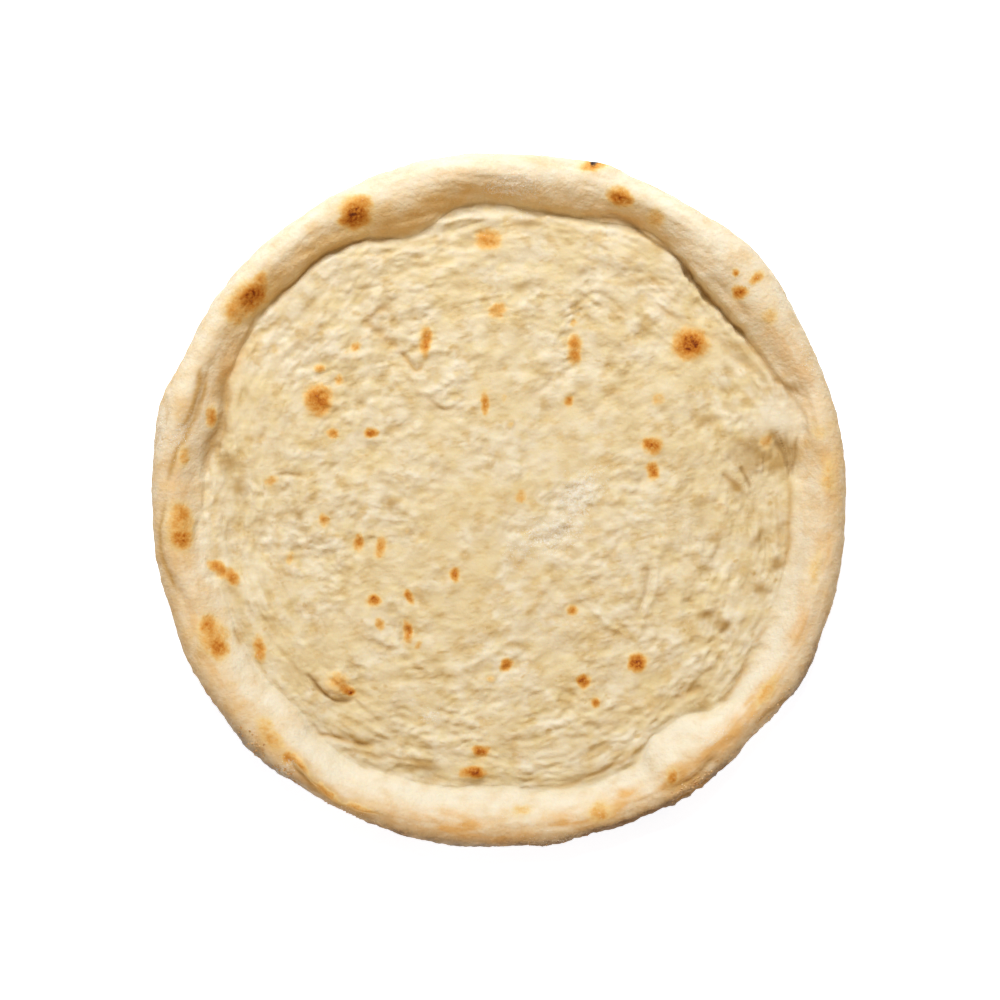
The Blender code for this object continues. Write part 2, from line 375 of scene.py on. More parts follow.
def lay_out_skin():
    """The whole skin as vertices and triangles, how far beneath the dough each vertex is, from 0 on the
    upper side to 1 on the underside, and the middle of its plan box."""
    middle = np.zeros(1)
    top = FLOOR_HEIGHT + float(top_relief(middle, middle, Rim(middle))[0])
    points, triangles, beneath = [np.array([[0.0, 0.0, top]])], [], [0.0]
    previous, previous_start, total = 1, 0, 1
    for stretch, share, count in rings():
        angle = np.arange(count) * 2 * np.pi / count
        points.append(ring_points(stretch, share, angle))
        beneath += [{under_turn: share, underside: 1.0}.get(stretch, 0.0)] * count
        triangles += stitch(previous, count, previous_start, total)
        previous, previous_start, total = count, total, total + count
    points.append(np.array([[0.0, 0.0, float(lift(middle, middle)[0])]]))
    triangles += stitch(previous, 1, previous_start, total)
    points, beneath = np.concatenate(points), np.array(beneath + [1.0])
    return points, triangles, beneath, (points.min(axis=0) + points.max(axis=0)) / 2 * (1, 1, 0)


# ---- The hand's folds ----
# Pressing out the dough leaves folds where the floor tucks under the rim, pleats and a lip along
# the rim where it was turned over, dents from fingertips and small cracks where the skin dried.

# Each is (depth, half width, how golden its middle is, which in a fold is partly painted shade, how dark
# the painted shade line along it is, path of points from the middle), in millimetres and shares of 1,
# and is a ridge where the depth is negative.
FOLDS = (
    # where the floor tucks in under the rim, at the far left
    (0.6, 1.2, 0.8, 0.45, (
        (-116, 56), (-111, 66), (-107, 77), (-101, 83), (-96, 88), (-90, 93), (-83, 100),
        (-76, 106), (-67, 110), (-58, 112), (-49, 112), (-40, 115), (-35, 116)
    )),
    (-0.6, 2.2, 0.0, 0.0, ((-98, 91), (-86, 102), (-74, 110), (-60, 115), (-46, 117))),
    (0.6, 1.6, 0.4, 0.0, (
        (-58, 115), (-46, 119), (-35, 122), (-26, 124), (-17, 127), (-4, 127.5), (6, 127)
    )),
    (0.6, 1.4, 0.4, 0.2, ((4, 126), (14, 124), (26, 122), (36, 120.5))),
    (-0.7, 2.0, 0.0, 0.0, ((-30, 117), (-18, 121), (-6, 122), (4, 120))),
    # at the far right, where it deepens to a wedge
    (1.3, 1.1, 0.7, 0.7, (
        (29, 121), (43, 122), (51, 121), (57, 119), (62, 114), (71, 108), (79, 102), (86, 90)
    )),
    (2.4, 1.1, 1.0, 1.0, ((76, 104), (81, 98), (86, 91), (93, 83), (99, 77), (105, 70), (110, 64))),
    (1.0, 1.5, 0.8, 0.3, ((101, 74), (106, 68.5), (112, 61), (119, 52), (126, 44), (130, 38))),
    (0.9, 1.8, 0.5, 0.0, (
        (60, 90), (67, 85), (74, 79), (83, 73), (94, 69), (101, 61), (109, 56), (117, 49)
    )),
    (-0.7, 2.4, 0.0, 0.0, ((84, 80), (93, 74), (101, 67), (110, 58), (117, 51))),
    (0.7, 1.6, 0.5, 0.1, ((62, 98), (71, 89), (79, 83))),
    (0.5, 1.3, 0.4, 0.1, ((88, 99), (94, 92), (101, 86), (108, 76))),
    (0.5, 1.3, 0.5, 0.2, ((121, 49), (127, 47), (133, 42))),
    # the cracks round the pit on the right
    (1.1, 1.0, 0.5, 1.0, ((115.5, 31), (117.8, 27), (120, 22), (122.5, 17.5), (125, 13.4), (127, 9))),
    (0.8, 0.9, 0.4, 0.7, ((127.5, 30), (127, 26), (126.4, 20), (125.2, 13.6), (124, 8))),
    (0.3, 0.9, 0.2, 0.35, ((121.5, 31), (122.6, 25), (123.8, 19), (125, 13.4))),
    (0.3, 1.4, 0.75, 0.0, ((124.5, 14), (124.5, 4), (124, -6), (123.5, -20), (122, -33))),
    (0.2, 1.4, 0.5, 0.0, ((119, -3), (119.5, -12), (118.5, -24))),
    (0.8, 1.2, 0.7, 0.8, ((103, 15), (105, 10), (108, 4.5))),
    (0.8, 1.3, 0.9, 0.5, ((94.5, 11.5), (99, 8), (103.5, 4))),
    (0.5, 1.1, 0.4, 0.3, ((117, 19), (112, 15), (108, 14))),
    # the foot at the near right, under the pale rim
    (0.35, 1.6, 0.1, 0.0, (
        (116, -52), (111, -60), (106, -69), (101, -79), (98, -85), (92, -89), (82, -92), (73, -94)
    )),
    (0.35, 1.8, 0.1, 0.0, (
        (73, -94), (69, -99), (62, -107), (55, -112), (46, -117), (36, -121), (24, -123)
    )),
    (0.4, 1.3, 0.8, 0.0, ((17, -123.8), (28, -123.2), (42.8, -117.5), (52.2, -112), (61, -105.7))),
    (0.5, 1.4, 0.8, 0.0, ((92, -89.5), (96, -86.5), (101.7, -79.4), (108.4, -67.7))),
    (0.3, 1.3, 0.6, 0.0, ((108.3, -62.5), (112, -58), (115, -53.5))),
    (0.9, 1.6, 0.7, 0.0, ((74, -86), (78, -84), (82, -82), (87, -81.5))),
    (0.9, 1.1, 0.7, 0.5, ((68, -125), (75, -123), (82, -118.5), (89, -112.5), (94, -107))),
    (-1.3, 1.4, 0.3, 0.0, ((70, -127.5), (78, -124), (85, -119.5), (91, -114))),
    (0.7, 1.1, 0.9, 0.9, ((72, -130.3), (79, -126.4), (85.5, -122), (91.7, -117.4))),
    (0.7, 1.0, 0.5, 0.5, ((107, -97), (112, -93), (118, -88), (124, -82))),
    # the foot at the near left, and the short creases beside it
    (0.4, 1.6, 0.15, 0.0, (
        (-113, -56), (-111, -64), (-101, -75), (-95, -84), (-88, -92), (-80, -98), (-70, -107)
    )),
    (0.5, 1.6, 0.2, 0.0, ((-72, -106), (-64, -111), (-56, -115), (-48, -117), (-38, -119))),
    (1.3, 1.6, 1.0, 0.0, ((-82, -99), (-76, -101), (-69, -103), (-61, -105), (-52, -106))),
    (0.7, 1.3, 0.6, 0.2, ((-70, -107), (-62, -109), (-55, -110.5), (-48, -111))),
    (0.7, 1.4, 0.6, 0.2, ((-54, -109), (-45, -111), (-36, -113), (-26, -113))),
    (0.5, 1.6, 0.3, 0.0, ((-33, -118), (-24, -121), (-12, -122.5), (0, -122))),
    # the lip along the rim, turned up over its own shadow
    (-2.3, 2.0, 0.9, 0.0, (
        (-92, -103), (-88.5, -108.5), (-84.9, -113.5), (-80.5, -118.5), (-75.5, -123.2),
        (-69.5, -127.5), (-62.5, -130.8), (-55.5, -132.2), (-47, -133.5)
    )),
    (2.2, 1.5, 0.8, 0.0, (
        (-93, -108), (-88.5, -112.8), (-83.5, -118.4), (-78.2, -123.2), (-72, -128),
        (-64.5, -132.4), (-56.5, -134.6), (-49, -135.8)
    )),
    # the tongue of dough beside the big blister
    (1.6, 1.2, 1.0, 1.0, (
        (-84, -73), (-81, -77.5), (-77.5, -82), (-73, -85.5), (-67, -87), (-62, -86)
    )),
    (0.35, 1.6, 0.3, 0.0, ((-98, -62), (-90, -70), (-84, -80))),
    # the long pleat down the left of the rim
    (0.35, 1.4, 1.2, 0.15, (
        (-124.6, 62), (-126.4, 52), (-128.3, 42.5), (-131.2, 33.5), (-135.2, 26.5), (-139.4, 19.8),
        (-141.3, 12), (-142.8, 1)
    )),
    (-0.5, 1.6, 1.2, 0.0, ((-127.5, 60), (-129, 51), (-131.2, 42.5), (-134.2, 35), (-138.2, 28))),
    (0.4, 1.3, 1.2, 0.1, (
        (-142.5, 3), (-144.5, -5), (-145.6, -14), (-144.6, -25.7), (-142, -33), (-137.8, -39.8),
        (-134.5, -43.5)
    )),
    (1.1, 1.6, 0.8, 0.0, (
        (-116, 60), (-118.4, 51), (-118.4, 40), (-121, 31), (-125, 22), (-127, 14), (-128, 6)
    )),
    (0.5, 1.4, 0.6, 0.2, ((-119, 38), (-119, 28), (-123, 20))),
    (0.4, 1.1, 0.4, 0.1, ((-146, 46), (-142, 38), (-144, 30))),
    (0.5, 1.3, 0.9, 0.2, ((-114.5, -55), (-113.5, -58.5), (-111.5, -62))),
    (0.35, 1.6, 0.3, 0.0, ((-118, -36), (-115, -41), (-112, -48))),
    # dents and ridges out on the floor
    (1.1, 2.1, 0.7, 0.0, ((-61, 78), (-56, 75), (-52, 72), (-46, 66), (-42, 63))),
    (1.5, 1.5, 1.0, 0.0, ((-45, 65), (-41, 61), (-38, 57), (-36, 55.5), (-34, 57), (-32, 61))),
    (0.9, 1.8, 0.7, 0.0, ((-57, 77), (-55, 80), (-51, 82), (-47, 83))),
    (0.7, 1.5, 0.4, 0.2, ((-34, 46), (-30, 42), (-25, 39), (-21, 39), (-20, 43))),
    (0.8, 1.1, 0.7, 0.5, ((-97, 11), (-91, 11), (-84, 11))),
    (0.7, 1.4, 0.4, 0.1, ((-100, 32), (-103, 28), (-108, 23))),
    (-0.9, 1.2, 0.0, 0.0, ((68, -24), (66.5, -34), (66, -42), (62, -49), (59, -59))),
    (-0.9, 1.2, 0.0, 0.0, ((38, -47), (43, -50), (48, -55), (53, -58), (59, -59))),
    (0.8, 1.4, 0.4, 0.4, ((64, -27), (63, -36), (61, -44), (57, -51))),
    (0.7, 1.8, 0.3, 0.0, ((10, 42), (20, 49), (30, 57))),
    (0.7, 1.8, 0.3, 0.0, ((34, 34), (44, 42), (52, 50))),
    (0.6, 1.8, 0.3, 0.0, ((22, 34), (30, 42), (37, 52))),
)
FOLD_STRAY = 1.1 * MM  # how far a fold wanders from its path
FOLD_STRAY_SIZE = 7.0 * MM
FOLD_STRAY_CUTS = (2.3, 8.9)  # heights at which its two directions are cut out of the noise
FOLD_POWER = 1.6  # how round a fold is at its bottom, where 2 is a bell's curve
FOLD_ENDS = 0.22  # of a fold's length, over which it dies away at each end
FOLD_REACH = 3.5  # in half widths, past which a fold does nothing
GOLD_AND_SHADE_POWER = 1.2  # how closely the gold and painted shade keep to a fold's bottom
SHADE_LINE_REACH = 2.4 * MM  # to either side, over which the painted shade line at a fold's bottom is known


def rounded(path, rounds=2):
    """The path with its corners cut, so that a fold bends smoothly."""
    path = np.array(path, dtype=float)
    for _ in range(rounds):
        first, last = path[:-1], path[1:]
        cut = np.stack((0.75 * first + 0.25 * last, 0.25 * first + 0.75 * last), axis=1).reshape(-1, 2)
        path = np.concatenate((path[:1], cut, path[-1:]))
    return path


def along_path(x, y, path):
    """How far each point lies off the path, less than 0 on its left, and where along it, from 0 to 1."""
    lengths = np.hypot(*np.diff(path, axis=0).T)
    starts = np.concatenate(([0.0], np.cumsum(lengths)))
    nearest, along, side = np.full_like(x, np.inf), np.zeros_like(x), np.ones_like(x)
    for (x0, y0), (x1, y1), length, start in zip(path, path[1:], lengths, starts):
        dx, dy = (x1 - x0) / length, (y1 - y0) / length
        run = np.clip((x - x0) * dx + (y - y0) * dy, 0.0, length)
        away = np.hypot(x - x0 - run * dx, y - y0 - run * dy)
        along = np.where(away < nearest, (start + run) / starts[-1], along)
        side = np.where(away < nearest, np.where((x - x0) * dy < (y - y0) * dx, -1.0, 1.0), side)
        nearest = np.minimum(nearest, away)
    return nearest * side, along


def folded(x, y):
    """How deep the folds are at each point, how golden their bottoms, partly as painted shade, and the
    painted shade line at the bottom of the nearest fold: how far off it is, and how clear."""
    stray = [FOLD_STRAY * lumps(x, y, FOLD_STRAY_SIZE, cut) for cut in FOLD_STRAY_CUTS]
    x, y = x + stray[0], y + stray[1]
    depth, golden, clear = np.zeros_like(x), np.zeros_like(x), np.zeros_like(x)
    offset = np.full_like(x, SHADE_LINE_REACH)
    for deep, half_width, gold, shade_darkness, path in laid_folds:
        reach = FOLD_REACH * half_width * MM
        low, high = path.min(axis=0) - reach, path.max(axis=0) + reach
        near = np.flatnonzero((x > low[0]) & (x < high[0]) & (y > low[1]) & (y < high[1]))
        if not len(near):
            continue
        away, along = along_path(x[near], y[near], path)
        ends = smooth_step(0.0, FOLD_ENDS, np.minimum(along, 1.0 - along))
        shape = ends * np.exp(-((np.abs(away) / (half_width * MM)) ** FOLD_POWER))
        depth[near] += deep * MM * shape
        golden[near] = np.maximum(golden[near], gold * shape**GOLD_AND_SHADE_POWER)
        closer = np.abs(away) < np.abs(offset[near])
        line = shade_darkness * ends * (1.0 - smooth_step(0.5 * SHADE_LINE_REACH, SHADE_LINE_REACH, np.abs(away)))
        offset[near] = np.where(closer, away, offset[near])
        clear[near] = np.where(closer, line, clear[near])
    return depth, golden, offset, clear


laid_folds = [(*sizes, rounded(path) * MM) for *sizes, path in FOLDS]
skin_points, skin_triangles, skin_beneath, skin_middle = lay_out_skin()


# ---- The oven's marks ----
# Where bubbles of the dough stood up into the heat they browned: dark blisters on the rim,
# small flecks on the floor, and a toasted flush along the outside of the rim.

# Each mark is (x, y, half width, half length, tilt in degrees, how brown from 0 to 1).
RIM_BLISTERS = (
    (-62.6, 122.0, 6.4, 6.0, 20, 0.86),
    (-59.6, 127.0, 5.0, 4.2, 0, 0.56),
    (-66.8, 119.6, 4.0, 2.6, 0, 0.66),
    (-62.4, 122.8, 8.4, 7.8, 20, 0.42),
    (-106.4, 87.2, 4.8, 8.0, -48, 0.78),
    (-102.6, 93.4, 3.8, 4.8, -30, 0.5),
    (-114.6, 81.0, 3.4, 5.4, -20, 0.54),
    (-112.6, 77.0, 2.0, 3.2, 0, 0.42),
    (-108.4, 85.8, 6.6, 12.4, -48, 0.46),
    (40.0, 143.6, 6.5, 2.6, 10, 0.6),
    (50.8, 129.8, 5.6, 3.9, -20, 0.8),
    (66.5, 121.0, 4.4, 5.0, -25, 0.28),
    (102.2, 88.8, 3.2, 2.6, 0, 0.74),
    (109.4, 95.2, 2.2, 4.0, -40, 0.55),
    (99.9, 97.2, 1.6, 1.5, 0, 0.6),
    (115.2, 78.4, 4.2, 4.2, 0, 0.3),
    (-136.9, -6.2, 3.9, 4.8, 0, 0.6),
    (-137.2, -11.4, 6.2, 11.0, 0, 0.44),
    (-136.6, -16.4, 4.3, 5.0, 10, 0.76),
    (-125.0, -54.4, 4.0, 5.2, 20, 0.66),
    (-121.0, -62.6, 3.8, 5.2, 20, 0.76),
    (-123.2, -58.6, 6.0, 9.0, 24, 0.46),
    (-121.6, -28.6, 4.6, 2.4, -40, 0.6),
    (-116.0, -33.4, 3.4, 4.4, 25, 0.66),
    (-119.4, -31.0, 2.6, 3.6, 45, 0.54),
    (-103.9, -63.8, 2.6, 5.6, 15, 0.56),
    (-98.0, -102.4, 3.4, 6.5, 42, 0.38),
    (-101.0, -96.5, 3.6, 5.0, 30, 0.3),
    (-91.2, -109.8, 2.4, 3.0, 45, 0.56),
    (-86.4, -112.2, 1.7, 8.0, 43, 0.46),
    (-74.6, -124.4, 1.5, 8.5, 54, 0.42),
    (-60.0, -131.6, 1.5, 9.0, 74, 0.4),
    (73.0, -118.0, 2.4, 3.4, -20, 0.6),
    (42.5, -133.4, 5.6, 4.4, 20, 0.36),
    (43.5, -134.6, 2.4, 2.4, 0, 0.46),
    (9.0, -133.4, 5.0, 2.8, 0, 0.26),
    (-124.6, 35.4, 1.9, 4.6, 6, 0.5),
    (-135.6, 18.4, 2.6, 5.0, -10, 0.36),
    (140.2, 13.0, 3.4, 4.0, 0, 0.26),
    (140.4, 7.6, 3.6, 4.4, 0, 0.3),
    (136.4, 29.3, 3.4, 3.6, 0, 0.22),
    (134.5, -29.5, 3.0, 9.0, -15, 0.22),
    (113.6, -81.8, 2.8, 8.5, -38, 0.36),
)
FLOOR_BLISTERS = (
    (81.8, 67.2, 7.6, 7.0, 0, 0.84),
    (-78.8, 42.8, 6.0, 7.3, 0, 0.68),
    (-32.5, 68.0, 2.9, 6.5, -8, 0.64),
    (31.8, 68.0, 3.2, 4.2, 0, 0.58),
    (31.6, 62.0, 3.0, 4.4, 0, 0.58),
    (31.8, 76.0, 1.8, 2.4, 0, 0.38),
    (65.4, 23.4, 4.3, 3.9, 0, 0.78),
    (65.4, 12.4, 2.8, 4.4, 0, 0.74),
    (-78.5, 56.9, 2.6, 2.2, 0, 0.52),
    (-69.3, 52.1, 2.0, 2.6, 0, 0.42),
    (-55.7, 29.2, 2.8, 2.2, 0, 0.72),
    (-72.3, 28.6, 3.0, 2.6, 0, 0.54),
    (-6.9, 41.5, 2.3, 5.2, 0, 0.6),
    (1.3, 44.2, 1.4, 2.4, 0, 0.32),
    (3.9, 32.3, 1.6, 1.5, 0, 0.3),
    (28.8, 42.6, 2.7, 2.3, 0, 0.66),
    (-62.8, 65.6, 2.4, 2.4, 0, 0.5),
    (-5.6, 112.0, 6.0, 5.2, -10, 0.52),
    (-1.0, 81.8, 4.6, 3.6, 30, 0.42),
    (-76.4, -8.8, 2.6, 3.0, 0, 0.48),
    (-61.4, -18.1, 2.6, 3.9, 0, 0.58),
    (-52.0, -20.4, 2.4, 4.9, -20, 0.52),
    (-40.0, -13.8, 1.5, 1.5, 0, 0.2),
    (-90.8, -25.0, 2.2, 2.4, 0, 0.36),
    (-19.8, -32.1, 2.4, 3.2, 15, 0.7),
    (-54.9, -43.3, 3.2, 2.9, 0, 0.8),
    (-39.4, -41.5, 2.2, 3.0, 0, 0.64),
    (-51.9, -53.1, 2.2, 2.7, 0, 0.46),
    (-40.0, -56.4, 2.5, 4.5, 0, 0.62),
    (-35.7, -62.4, 1.7, 1.7, 0, 0.35),
    (30.8, -47.1, 2.4, 2.7, 0, 0.6),
    (58.6, -70.2, 3.6, 3.9, 0, 0.9),
    (35.3, -78.4, 2.8, 2.9, 0, 0.76),
    (40.9, -87.4, 2.0, 2.2, 0, 0.66),
    (2.2, -70.8, 3.1, 2.3, 25, 0.68),
    (-4.5, -77.1, 2.0, 2.0, 0, 0.3),
    (-70.2, -78.2, 4.8, 4.8, -20, 0.4),
    (-67.6, -81.4, 3.4, 3.0, 0, 0.5),
    (-65.6, -82.6, 2.5, 2.2, 0, 0.82),
    (-11.6, -117.3, 6.2, 3.0, 0, 0.88),
    (-8.9, -107.8, 3.8, 2.2, -8, 0.76),
    (8.4, 2.2, 2.6, 3.4, 0, 0.38),
    (-99.2, 8.4, 3.2, 2.6, 0, 0.36),
    (114.6, 25.6, 3.4, 4.2, 0, 0.34),
    (67.7, 43.6, 3.0, 3.0, 0, 0.3),
    (-5.2, 113.6, 9.0, 4.4, -5, 0.2),
)
# Scorched tips, as the marks above but black at 1.
CHARRED = (
    (40.2, 144.6, 2.4, 1.3, 10, 0.95),
    (-62.6, 122.8, 3.6, 3.2, 0, 0.42),
    (81.0, 66.0, 3.4, 2.6, 0, 0.2),
    (-106.0, 86.2, 2.2, 3.6, -48, 0.3),
)
# The flush along the rim as (angle, half width, radius, half depth, strength).
FLUSHES = (
    (266, 34, 142.0, 8.5, 0.9),
    (226, 16, 142.5, 7.0, 0.75),
    (225, 8, 141.5, 6.0, 1.1),
    (241, 10, 146.0, 6.0, 1.0),
    (262, 10, 141.0, 9.0, 1.4),
    (286, 16, 141.0, 8.0, 1.25),
    (293, 3, 137.0, 4.0, 1.0),
    (302, 6, 139.5, 7.0, 1.2),
    (312, 14, 140.0, 8.0, 1.0),
    (324, 9, 140.5, 7.0, 2.2),
    (337, 10, 141.0, 9.0, 0.7),
    (184, 16, 139.0, 11.0, 0.8),
    (185, 7, 137.0, 8.0, 1.0),
    (206, 6, 137.0, 8.0, 0.9),
    (117, 5, 138.0, 9.0, 0.7),
    (141, 8, 138.0, 9.0, 0.8),
    (74, 6, 147.5, 5.0, 0.9),
    (229, 5, 107.0, 7.0, 1.0),
    (304, 7, 145.0, 4.5, 1.4),
    (273, 8, 144.0, 7.0, 1.8),
    (171, 8, 137.0, 8.0, 0.8),
    (155, 10, 130.0, 9.0, 0.6),
    (348, 14, 140.0, 8.0, 0.62),
    (5, 10, 141.0, 8.0, 0.72),
    (25, 14, 139.0, 8.0, 0.6),
    (205, 14, 141.0, 8.0, 0.7),
    (100, 20, 142.0, 6.0, 0.3),
    (66, 14, 133.0, 7.0, 0.6),
    (83, 8, 146.0, 5.0, 0.5),
)
STRAYS = ((1.3 * MM, 6.0 * MM), (0.55 * MM, 2.2 * MM))  # how far a mark's edge strays, over what length
STRAY_ASIDE = 7.7  # how far along the noise the stray in Y is taken from the one in X
MARK_HEART = 0.12  # of the mark's size, inside which it is at its brownest
MARK_EDGE = 1.55  # where its colour has nearly gone
HALO_SHARE = 0.16  # of the mark's strength, in the faint ring round it
HALO_START = 0.6  # of the mark's size, where the ring begins to fade
HALO_EDGE = 2.5


def strayed(points):
    """The points moved a little, so that the marks laid out on them have uneven edges."""
    moved = np.array(points)
    for far, length in STRAYS:
        for axis, offset in ((0, 0.0), (1, STRAY_ASIDE)):
            moved[:, axis] += far * noise_at(*(points / length + offset).T)
    return moved


def marked(points, marks, halo=0.0):
    """How brown each point is: the strongest of the marks that reach it."""
    brown = np.zeros(len(points))
    for x, y, half_width, half_length, tilt, strength in marks:
        turn = math.radians(tilt)
        dx, dy = points[:, 0] - x * MM, points[:, 1] - y * MM
        across = (dx * math.cos(turn) + dy * math.sin(turn)) / (half_width * MM)
        along = (dy * math.cos(turn) - dx * math.sin(turn)) / (half_length * MM)
        away = np.hypot(across, along)
        heart = 1.0 - smooth_step(MARK_HEART, MARK_EDGE, away)
        ring = halo * (1.0 - smooth_step(HALO_START, HALO_EDGE, away))
        brown = np.maximum(brown, strength * np.maximum(heart, ring))
    return brown


def flushed(points, bands):
    """How strong the strongest of the bands that run along the rim is at each point."""
    radius = np.hypot(points[:, 0], points[:, 1])
    angle = np.degrees(np.arctan2(points[:, 1], points[:, 0]))
    flush = np.zeros(len(points))
    for centre, half_width, middle, half_depth, strength in bands:
        along = 1 - smooth_step(0, 1, degrees_off(angle, centre) / half_width)
        across = 1 - smooth_step(0, 1, np.abs(radius - middle * MM) / (half_depth * MM))
        flush = np.maximum(flush, strength * along * across)
    return flush


# Where flour was left: (x, y, half width, half length, tilt in degrees, how thick from 0 to 1).
FLOURED = (
    (33.0, 2.0, 14.0, 9.0, 50, 0.9),
    (22.0, -14.0, 15.0, 9.0, 20, 0.8),
    (9.0, -20.0, 8.0, 7.0, 0, 0.6),
    (42.0, 10.0, 8.0, 6.0, 0, 0.5),
    (6.0, 135.0, 17.0, 6.5, 0, 0.75),
    (-1.3, 123.2, 3.0, 2.0, 0, 0.5),
    (9.0, 123.0, 4.0, 2.5, 0, 0.5),
    (-137.0, 27.0, 5.0, 10.0, -25, 0.7),
    (-145.5, 30.0, 4.0, 12.0, -10, 0.6),
    (-92.5, -114.5, 5.0, 5.0, 0, 0.8),
    (-30.5, -92.5, 4.0, 4.0, 0, 0.7),
    (91.0, -102.0, 9.0, 3.0, 40, 0.4),
    (108.0, -94.0, 3.0, 10.0, -45, 0.4),
    (28.0, -146.0, 22.0, 4.0, 5, 0.5),
    (-60.0, -137.0, 20.0, 4.0, -25, 0.4),
    (131.0, 62.0, 4.0, 22.0, 25, 0.4),
)


# Dusky places, smooth pale places, places where the skin is less puckered, and crust that came up rough
# and crumbly. The larger dusky places, at the pit on the right and along the foot, are painted shade,
# and the small ones out on the floor are dusky gold smudges in the crust. The first three are laid out
# as the marks above, and the last as the flushes.
DUSKY_AND_SHADE = (
    (112.5, 20.5, 13.0, 8.5, 0, 0.95),
    (121.5, 19.5, 7.0, 9.0, 0, 0.95),
    (114.5, 19.8, 4.0, 4.4, 0, 1.3),
    (119.5, 16.0, 6.0, 5.0, 20, 1.2),
    (-123.0, 28.0, 5.0, 11.0, -18, 0.6),
    (-120.5, 45.0, 3.0, 9.0, 8, 0.5),
    (135.0, 24.0, 6.0, 10.0, 10, 0.3),
    (128.0, -26.0, 4.0, 8.0, -10, 0.25),
    (12.5, 118.8, 6.5, 2.8, 8, 0.8),
    (96.2, -54.2, 3.2, 3.0, 0, 1.01),
    (101.3, 5.8, 2.0, 4.0, 50, 1.09),
    (-87.6, -6.0, 3.0, 2.2, 0, 0.58),
    (88.4, 34.4, 2.2, 5.6, -65, 0.72),
    (-112.3, 4.9, 4.2, 3.8, 20, 0.87),
    (-118.0, 15.8, 3.4, 5.4, -15, 0.87),
    (84.8, -1.2, 3.4, 2.8, 0, 0.65),
    (109.8, -17.2, 2.0, 5.4, -38, 0.87),
    (119.0, -27.6, 3.4, 2.8, 0, 1.09),
    (111.8, -38.5, 3.8, 3.0, 0, 0.8),
    (88.2, -50.2, 3.2, 2.6, 0, 1.01),
    (-33.6, -114.8, 6.4, 2.8, 5, 1.16),
    (-47.5, -1.0, 3.8, 2.6, 10, 0.65),
    (4.0, 32.3, 2.2, 2.0, 0, 0.87),
    (-4.0, -77.0, 2.6, 2.4, 0, 0.87),
    (-40.0, -13.7, 2.2, 2.0, 0, 0.72),
    (-90.8, -25.2, 2.4, 2.4, 0, 0.36),
    (28.0, -12.0, 3.0, 2.0, 0, 0.36),
    (44.0, 89.6, 3.4, 2.6, 0, 0.43),
    (-17.0, 92.2, 4.0, 2.4, 0, 0.36),
    (46.0, -62.0, 3.4, 2.2, 0, 0.36),
    (-88.0, 68.0, 4.0, 2.4, -30, 0.43),
)
SMOOTH = (
    (119.5, 36.0, 10.0, 9.0, 0, 0.9),
    (-98.0, -84.0, 5.0, 9.0, 40, 0.3),
    (70.0, -101.0, 8.0, 6.0, 30, 0.5),
)
QUIET = (
    (6.0, -52.0, 40.0, 24.0, 0, 0.42),
    (46.0, -46.0, 24.0, 24.0, 0, 0.25),
    (0.0, 104.0, 60.0, 17.0, 0, 0.4),
    (0.0, 52.0, 30.0, 22.0, 0, 0.25),
    (-75.0, 75.0, 26.0, 26.0, 0, 0.2),
)
CRUMBLY = (
    (227, 15, 148.5, 5.5, 0.8),
    (243, 8, 150.0, 4.0, 0.5),
    (282, 16, 150.0, 4.0, 0.4),
    (304, 7, 146.5, 4.5, 1.1),
    (323, 9, 147.5, 5.0, 0.7),
)

# How golden the rim is on its inner wall and on its outer side, as a base and swells like the form's.
# The swells are
# mostly painted shade: more gold on the far inner wall and the near outer side, which face from the
# light, and less where the light falls.
INNER_GOLD = 0.42
INNER_GOLD_AND_SHADE_SWELLS = (
    (112, 60, 0.7),
    (250, 80, -0.3),
    (325, 50, -0.3),
    (8, 26, 0.22),
)
OUTER_GOLD = 0.5
OUTER_GOLD_AND_SHADE_SWELLS = (
    (212, 60, 0.25),
    (95, 75, -0.45),
    (8, 26, 0.22),
)

# How floury and grey the outside of the rim is on its near side; the grey is partly flour and partly
# painted shade on the side that faces from the light.
GREY_AND_SHADE_SWELLS = (
    (228, 18, 1.2),
    (241, 12, 0.6),
    (264, 16, 0.8),
    (285, 16, 0.2),
    (304, 9, 0.7),
    (324, 14, 0.6),
)

# How toasted the outside of the rim is: a little all round, and darker on the near side, where the extra
# brown is painted shade on the side that faces from the light.
SIDE_TOAST = 0.3
SIDE_TOAST_AND_SHADE_SWELLS = (
    (270, 80, 0.62),
    (226, 34, 0.35),
    (290, 18, 0.6),
    (330, 12, 0.3),
    (241, 10, -0.25),
    (303, 14, 0.45),
    (330, 40, 0.2),
    (180, 30, 0.1),
)

TOP_ENDS = (0.2, 0.7)  # of the way beneath, over which the marks of the upper side die away
UNDERSIDE_STARTS = (0.3, 1.0)  # of the way beneath, over which the underside's finish takes over
RIM_EDGE = (-4 * MM, 5 * MM)  # from the foot, where the rim's finish takes over from the floor's
FINE_EDGE = (-4 * MM, 3 * MM)  # from the foot, where the floor's finest relief gives way to the rim's
SOFT_FOOT = 10 * MM  # how much further out that edge lies where the foot is soft
EDGE_STRAY = 4.0 * MM  # how far it strays, over what length, and where that is cut out of the noise
EDGE_STRAY_SIZE = 10.0 * MM
EDGE_STRAY_CUT = 4.4
SMOOTHING = 0.8  # how much of the floor's relief a smooth place takes away
GREY_AND_SHADE_POWER = 1.5  # how closely the grey with its painted shade, and the toasted colour, keep to the rim's outer side
SIDE_POWER = 2.2


